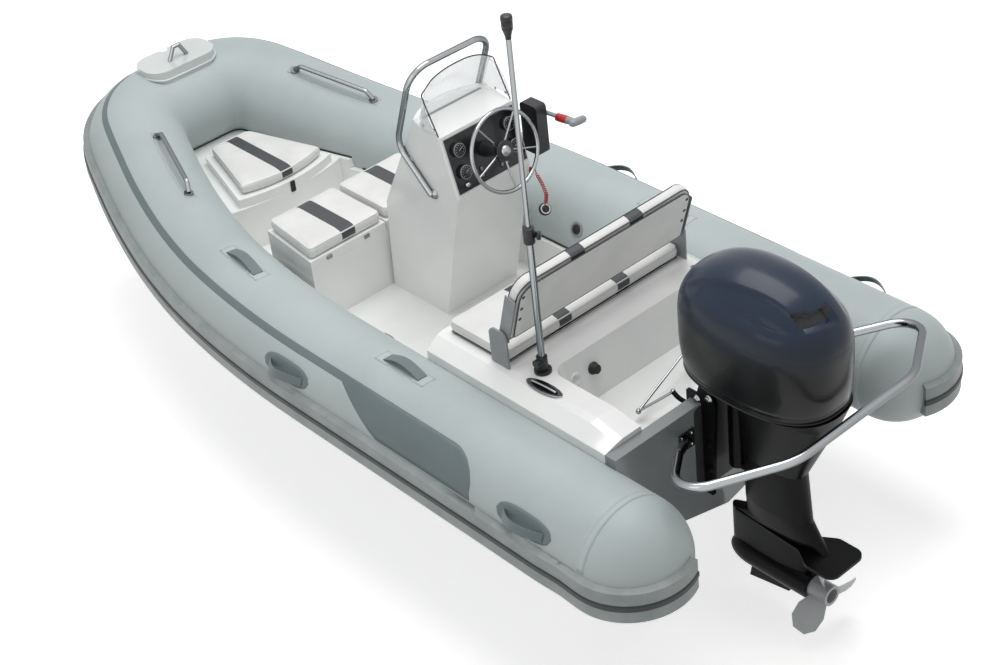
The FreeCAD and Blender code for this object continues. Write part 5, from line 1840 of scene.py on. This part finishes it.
    def console_trim(self) -> None:
        """Draw the console's top seam, its rail feet and its side flanges."""
        seam = slab("console_seam", rounded(0.011, 0.300, 0.002, 3), 0.0012,
                    facing(row(2010, -182, 922.1), Vector((-0.19, 0, 0.98)), AHEAD), 0.0004)
        show(seam, self.finishes.grey)
        for side in (-1, 1):
            y = self.port if side == 1 else self.starboard
            for k, (x, z) in enumerate(((2075, 726), (1950, 622))):
                flange = ((0.022, 0.0), (0.022, 0.003), (0.018, 0.005), (0.0135, 0.007), (0.0135, 0.012),
                          (0.001, 0.012))
                show(turned(f"rail_flange_{side + 1}{k}", flange, at(x / 1000, y, z / 1000),
                            Vector((0, side, 0))),
                     self.finishes.steel)

    def lever(self) -> None:
        """Put a red release band and a boss cap on the engine control's lever."""
        hub = row(1787.5, -424.6, 853)
        tip = hub + Vector((-0.190, -0.0173, 0.009))
        way = (tip - hub).normalized()
        band = ((0.0100, -0.030), (0.0158, -0.027), (0.0166, 0.0), (0.0166, 0.022), (0.0150, 0.026))
        show(turned("lever_band", band, hub.lerp(tip, 0.66), way), self.finishes.red)
        handle = ((0.0010, -0.040), (0.0100, -0.038), (0.0150, -0.030), (0.0160, 0.0), (0.0150, 0.030),
                  (0.0100, 0.038), (0.0010, 0.040))
        show(turned("lever_handle", handle, tip + Vector((0, -0.012, 0)), Vector((0, 1, 0.1))),
             self.finishes.grey)
        cap = ((0.024, 0.0), (0.024, 0.003), (0.020, 0.006), (0.010, 0.0075), (0.0005, 0.008))
        show(turned("lever_cap", cap, hub + Vector((0, -0.0172, 0)), Vector((0, -1, 0))), self.finishes.grey)


@dataclass
class Fittings:
    """Cleats, drains, catches, seat brackets, lamp lens and steering link."""

    finishes: Finishes
    cleats: tuple[Pair, ...] = ((0.878, 0.450), (0.919, -0.433))
    deck: float = 0.460
    sole_height: float = 0.0421

    def build(self) -> None:
        """Make every fitting."""
        for i, (forward, port) in enumerate(self.cleats):
            self.cleat(i, forward, port)
        self.drains()
        self.catches()
        self.bench_metal()
        self.lamp()
        self.link()
        self.sole()
        self.transom()

    def cleat(self, i: int, forward: float, port: float) -> None:
        """Set a fold-down oval cleat in the deck.

        Args:
            i: The cleat's number.
            forward: Place forward of the stern.
            port: Place to port of the centreline.
        """
        flat = facing(at(forward, port, self.deck), UP, Vector((1, 0.05, 0)))
        oval = [(0.085 * math.cos(a), 0.027 * math.sin(a)) for a in spread(0, 2 * math.pi, 48)[:-1]]
        inner = [(x * 0.74, y * 0.66) for x, y in oval]
        show(slab(f"cleat_plate_{i}", oval, 0.004, flat, 0.0016), self.finishes.steel)
        show(slab(f"cleat_well_{i}", inner, 0.0052, flat, 0.0008), self.finishes.cast)
        horn = [flat @ Vector(p) for p in ((-0.058, 0, 0.006), (-0.030, 0, 0.0085), (0, 0, 0.009),
                                           (0.030, 0, 0.0085), (0.058, 0, 0.006))]
        show(wire(f"cleat_horn_{i}", horn, 0.0055), self.finishes.steel)

    def drains(self) -> None:
        """Set the plug, the hose fitting and the drain of the splash well."""
        plug = ((0.024, -0.002), (0.024, 0.004), (0.018, 0.006), (0.018, 0.024), (0.016, 0.027),
                (0.001, 0.027))
        show(turned("well_plug", plug, self.well_wall(0.183, 0.376), self.well_out), self.finishes.rubber)
        ring = ((0.026, -0.002), (0.026, 0.004), (0.023, 0.007), (0.015, 0.007), (0.013, 0.002),
                (0.001, 0.002))
        show(turned("well_fitting", ring, self.well_wall(0.270, 0.375), self.well_out), self.finishes.white)
        show(turned("well_drain", ring, row(727, 283, 262), UP), self.finishes.grey)

    @property
    def well_out(self) -> Vector:
        """Direction out of the splash well's fore wall."""
        return Vector((-0.198, 0, 0.046)).normalized()

    def well_wall(self, port: float, up: float) -> Vector:
        """Give a place on the splash well's fore wall."""
        share = (up - 0.262) / (self.deck - 0.262)
        return at(0.936 - 0.046 * (1 - share), port, up)

    def catches(self) -> None:
        """Hang the lids' catches and straps."""
        low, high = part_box("bow_lid")
        strap = facing(Vector((low[0] - 0.0006, 0, high[2] - 0.034)), AFT, Vector((0, 0, -1)))
        show(slab("locker_strap", rounded(0.052, 0.024, 0.004, 4), 0.004, strap, 0.001), self.finishes.rubber,
             "bow_locker_lid")
        for word, body in (("port", "port_seat_lid"), ("starboard", "starboard_seat_lid")):
            low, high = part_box("front_lid_" + word)
            for k, share in enumerate((0.26, 0.76)):
                spot = Vector((low[0] - 0.0004, mix(low[1], high[1], share), (low[2] + high[2]) / 2))
                show(slab(f"seat_catch_{word}_{k}", rounded(0.018, 0.028, 0.003, 3), 0.003,
                          facing(spot, AFT, UP), 0.0008), self.finishes.steel, body)

    def bench_metal(self) -> None:
        """Fit the strip under the bench, and black discs as painted shade in the holes of the backrest's end
        plates.
        """
        low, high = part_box("bench_board")
        strip = facing(Vector(((low[0] + high[0]) / 2, 0, low[2] + 0.0003)), UP, AHEAD)
        show(slab("bench_frame", rounded(high[0] - low[0] - 0.006, 2 * high[1] - 0.006, 0.016), 0.0062, strip,
                  0.001),
             self.finishes.steel)
        aft = Vector((-math.cos(BACK_LEAN), 0, -math.sin(BACK_LEAN)))
        for side in (1, -1):
            for k, height in enumerate((0.215, 0.158, 0.106)):
                spot = at(BACK_FORWARD, side * 0.408, BACK_UP) + aft * 0.0141
                spot += Vector((-math.sin(BACK_LEAN), 0, math.cos(BACK_LEAN))) * height
                # Painted shade: black discs stand for the dark inside of the end plates' holes.
                hole_shade = ((0.0072, -0.0004), (0.0072, 0.0012), (0.0055, 0.0016), (0.0045, 0.0006),
                       (0.0005, 0.0006))
                show(turned(f"plate_hole_shade_{side + 1}{k}", hole_shade, spot, aft, 24), self.finishes.black, "backrest")

    def lamp(self) -> None:
        """Top the pole with its tapered lamp and dress the clamp and its knob."""
        low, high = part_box("pole_lamp")
        foot = Vector(((low[0] + high[0]) / 2, (low[1] + high[1]) / 2, low[2]))
        body = ((0.0095, -0.022), (0.0110, -0.010), (0.0150, 0.004), (0.0185, 0.014), (0.0185, 0.018))
        cap = ((0.0185, 0.042), (0.0198, 0.044), (0.0198, 0.054), (0.0175, 0.0592), (0.0010, 0.0599))
        lens = ((0.0178, 0.018), (0.0190, 0.020), (0.0190, 0.040), (0.0178, 0.042))
        top = show(turned("lamp_cap", cap, foot, UP), self.finishes.black, "light_pole")
        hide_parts("pole_lamp")
        show(turned("lamp_body", body, foot, UP), self.finishes.black, "light_pole")
        show(turned("lamp_lens", lens, foot, UP), self.finishes.dash, "light_pole")
        sleeve = ((0.0192, 0.0), (0.0205, 0.003), (0.0205, 0.026), (0.0194, 0.030), (0.0205, 0.034),
                  (0.0205, 0.057), (0.0192, 0.0606))
        middle = Vector((foot.x, foot.y, 0.9998))
        show(turned("clamp_sleeve", sleeve, middle, UP), self.finishes.black)
        knob = ((0.008, 0.018), (0.008, 0.026), (0.015, 0.028), (0.0165, 0.034), (0.015, 0.040),
                (0.001, 0.041))
        show(turned("clamp_knob", knob, middle + Vector((0, 0, 0.030)), Vector((-0.8, -0.6, 0))),
             self.finishes.black)

    def link(self) -> None:
        """Run the steering link's two rods across the well, from its knee to the bracket and to a post."""
        knee, post, arm = row(687, 190, 300), row(736, -106, 374), row(600, 100, 378)
        for k, end in enumerate((post, arm)):
            show(wire(f"link_rod_{k}", [knee, knee.lerp(end, 0.5), end], 0.0048), self.finishes.steel)
        show(wire("link_post", [post + Vector((0, 0, 0.006)), post, row(750, -140, 310), row(760, -165, 262)],
                  0.008),
             self.finishes.cast)
        show(wire("link_arm", [arm, row(575, 108, 374), row(545, 110, 372), row(515, 110, 372)], 0.009),
             self.finishes.cast)
        ball = ((0.0005, -0.010), (0.007, -0.008), (0.0105, 0.0), (0.007, 0.008), (0.0005, 0.010))
        for k, place in enumerate((knee, post, arm)):
            show(turned(f"link_ball_{k}", ball, place, UP, 24), self.finishes.steel)

    def sole(self) -> None:
        """Lay the moulded non-slip fields of the sole."""
        for i, (forward, port, length, width) in enumerate(((1.55, 0.255, 0.20, 0.34),
                                                            (1.55, -0.10, 0.20, 0.30))):
            field_of = facing(at(forward, port, self.sole_height), UP, AHEAD)
            show(slab(f"sole_grip_{i}", rounded(length, width, 0.03), 0.0006, field_of, 0.0003),
                 self.finishes.grip)

    def transom(self) -> None:
        """Lay a dark sheet on the transom as the painted shadow of the motor's bracket, and bolt the bracket
        and the tow bar's feet down.
        """
        low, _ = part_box("transom")
        pad = facing(Vector((low[0] + 0.0004, 0, 0.218)), AFT, UP)
        # Painted shadow: a dark rubber sheet where the bracket's shadow falls on the transom.
        show(slab("transom_bracket_shadow_pad", rounded(0.372, 0.312, 0.022), 0.0024, pad, 0.0008), self.finishes.rubber)
        bolt = ((0.0150, -0.001), (0.0150, 0.002), (0.0105, 0.003), (0.0105, 0.009), (0.0085, 0.011),
                (0.0005, 0.0115))
        for side in (-1, 1):
            for k, (x, z) in enumerate(((468, 426), (412, 452), (418, 250), (418, 140))):
                show(turned(f"clamp_bolt_{side + 1}{k}", bolt, row(x, side * 118, z), Vector((0, side, 0)),
                            24),
                     self.finishes.steel if k < 2 else self.finishes.cast)
        for side in (-1, 1):
            for k, (dy, dz) in enumerate(((-0.024, -0.024), (0.024, -0.024), (-0.024, 0.024),
                                          (0.024, 0.024))):
                head = ((0.0060, 0.0), (0.0060, 0.003), (0.0045, 0.0046), (0.0005, 0.005))
                show(turned(f"foot_bolt_{side + 1}{k}", head, Vector((low[0] - 0.0064, side * 0.2 + dy,
                                                                      0.300 + dz)),
                            AFT, 20), self.finishes.steel)


@dataclass
class KillCord:
    """Red curly lanyard that hangs from its switch to a float."""

    finishes: Finishes
    coil_radius: float = 0.0068
    thickness: float = 0.0036
    turns: int = 22

    def build(self) -> None:
        """Hang the lanyard and its float from the switch beside the control."""
        top = row(1812, -376, 600)
        base = ((0.014, -0.002), (0.014, 0.004), (0.010, 0.006), (0.009, 0.014), (0.001, 0.014))
        switch = show(turned("kill_switch", base, top, Vector((0, -1, 0))), self.finishes.red)
        start = top + Vector((0, -0.013, 0))
        route = [start, start + Vector((0, -0.010, -0.004)), row(1811, -404, 570), row(1802, -420, 520),
                 row(1794, -430, 470), row(1808, -436, 425), row(1822, -438, 402)]
        spots = self.helix(route)
        lanyard = show(wire("kill_lanyard", spots, self.thickness / 2), self.finishes.red)
        float_body = ((0.001, -0.011), (0.020, -0.010), (0.026, -0.004), (0.026, 0.004), (0.020, 0.010),
                      (0.001, 0.011))
        place = route[-1] + Vector((0.004, -0.004, -0.022))
        key_float = show(turned("key_float", float_body, place, Vector((-0.75, 0.25, 0.6))),
                         self.finishes.rubber)
        ring = ((0.021, 0.0100), (0.021, 0.0112), (0.016, 0.0112), (0.016, 0.0100))
        band = show(turned("key_float_ring", ring, place, Vector((-0.75, 0.25, 0.6))), self.finishes.white)
        length = self.measure(lanyard)
        LOG.info("lanyard wire %.4f m from %s", length, switch.name)

    def measure(self, curve: bpy.types.Object) -> float:
        """Give the length of a curve's own line.

        Args:
            curve: The curve.

        Returns:
            The length.
        """
        bare = curve.data.copy()
        bare.bevel_depth = 0.0
        line = bpy.data.objects.new("line", bare)
        mesh = bpy.data.meshes.new_from_object(line)
        length = sum((mesh.vertices[a].co - mesh.vertices[b].co).length for a,
                     b in (e.vertices for e in mesh.edges))
        bpy.data.objects.remove(line)
        return length

    def helix(self, route: Sequence[Vector]) -> list[Vector]:
        """Wind the lanyard's coils round its route, with straight ends.

        Args:
            route: Places that the lanyard hangs through.

        Returns:
            The coils' points.
        """
        lengths = [0.0]
        for a, b in zip(route, route[1:]):
            lengths.append(lengths[-1] + (b - a).length)
        total, count = lengths[-1], self.turns * 14
        points = []
        for i in range(count + 1):
            d = total * i / count
            k = max(j for j in range(len(lengths) - 1) if lengths[j] <= d + 1e-9)
            spot = route[k].lerp(route[k + 1], (d - lengths[k]) / (lengths[k + 1] - lengths[k]))
            ease = smooth_step(0.10, 0.22, d / total) * (1 - smooth_step(0.86, 0.96, d / total))
            a = 2 * math.pi * self.turns * i / count
            points.append(spot + Vector((math.cos(a), math.sin(a), 0)) * self.coil_radius * ease)
        return points


def main() -> None:
    """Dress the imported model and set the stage."""
    logging.basicConfig(level=logging.INFO)
    Studio().build()
    finishes = Finishes()
    finishes.dress_frame()
    for part in (TubeDress(finishes), Upholstery(finishes), Cowl(finishes), Dash(finishes),
                 Fittings(finishes), KillCord(finishes)):
        part.build()


if __name__ == "__main__":
    main()
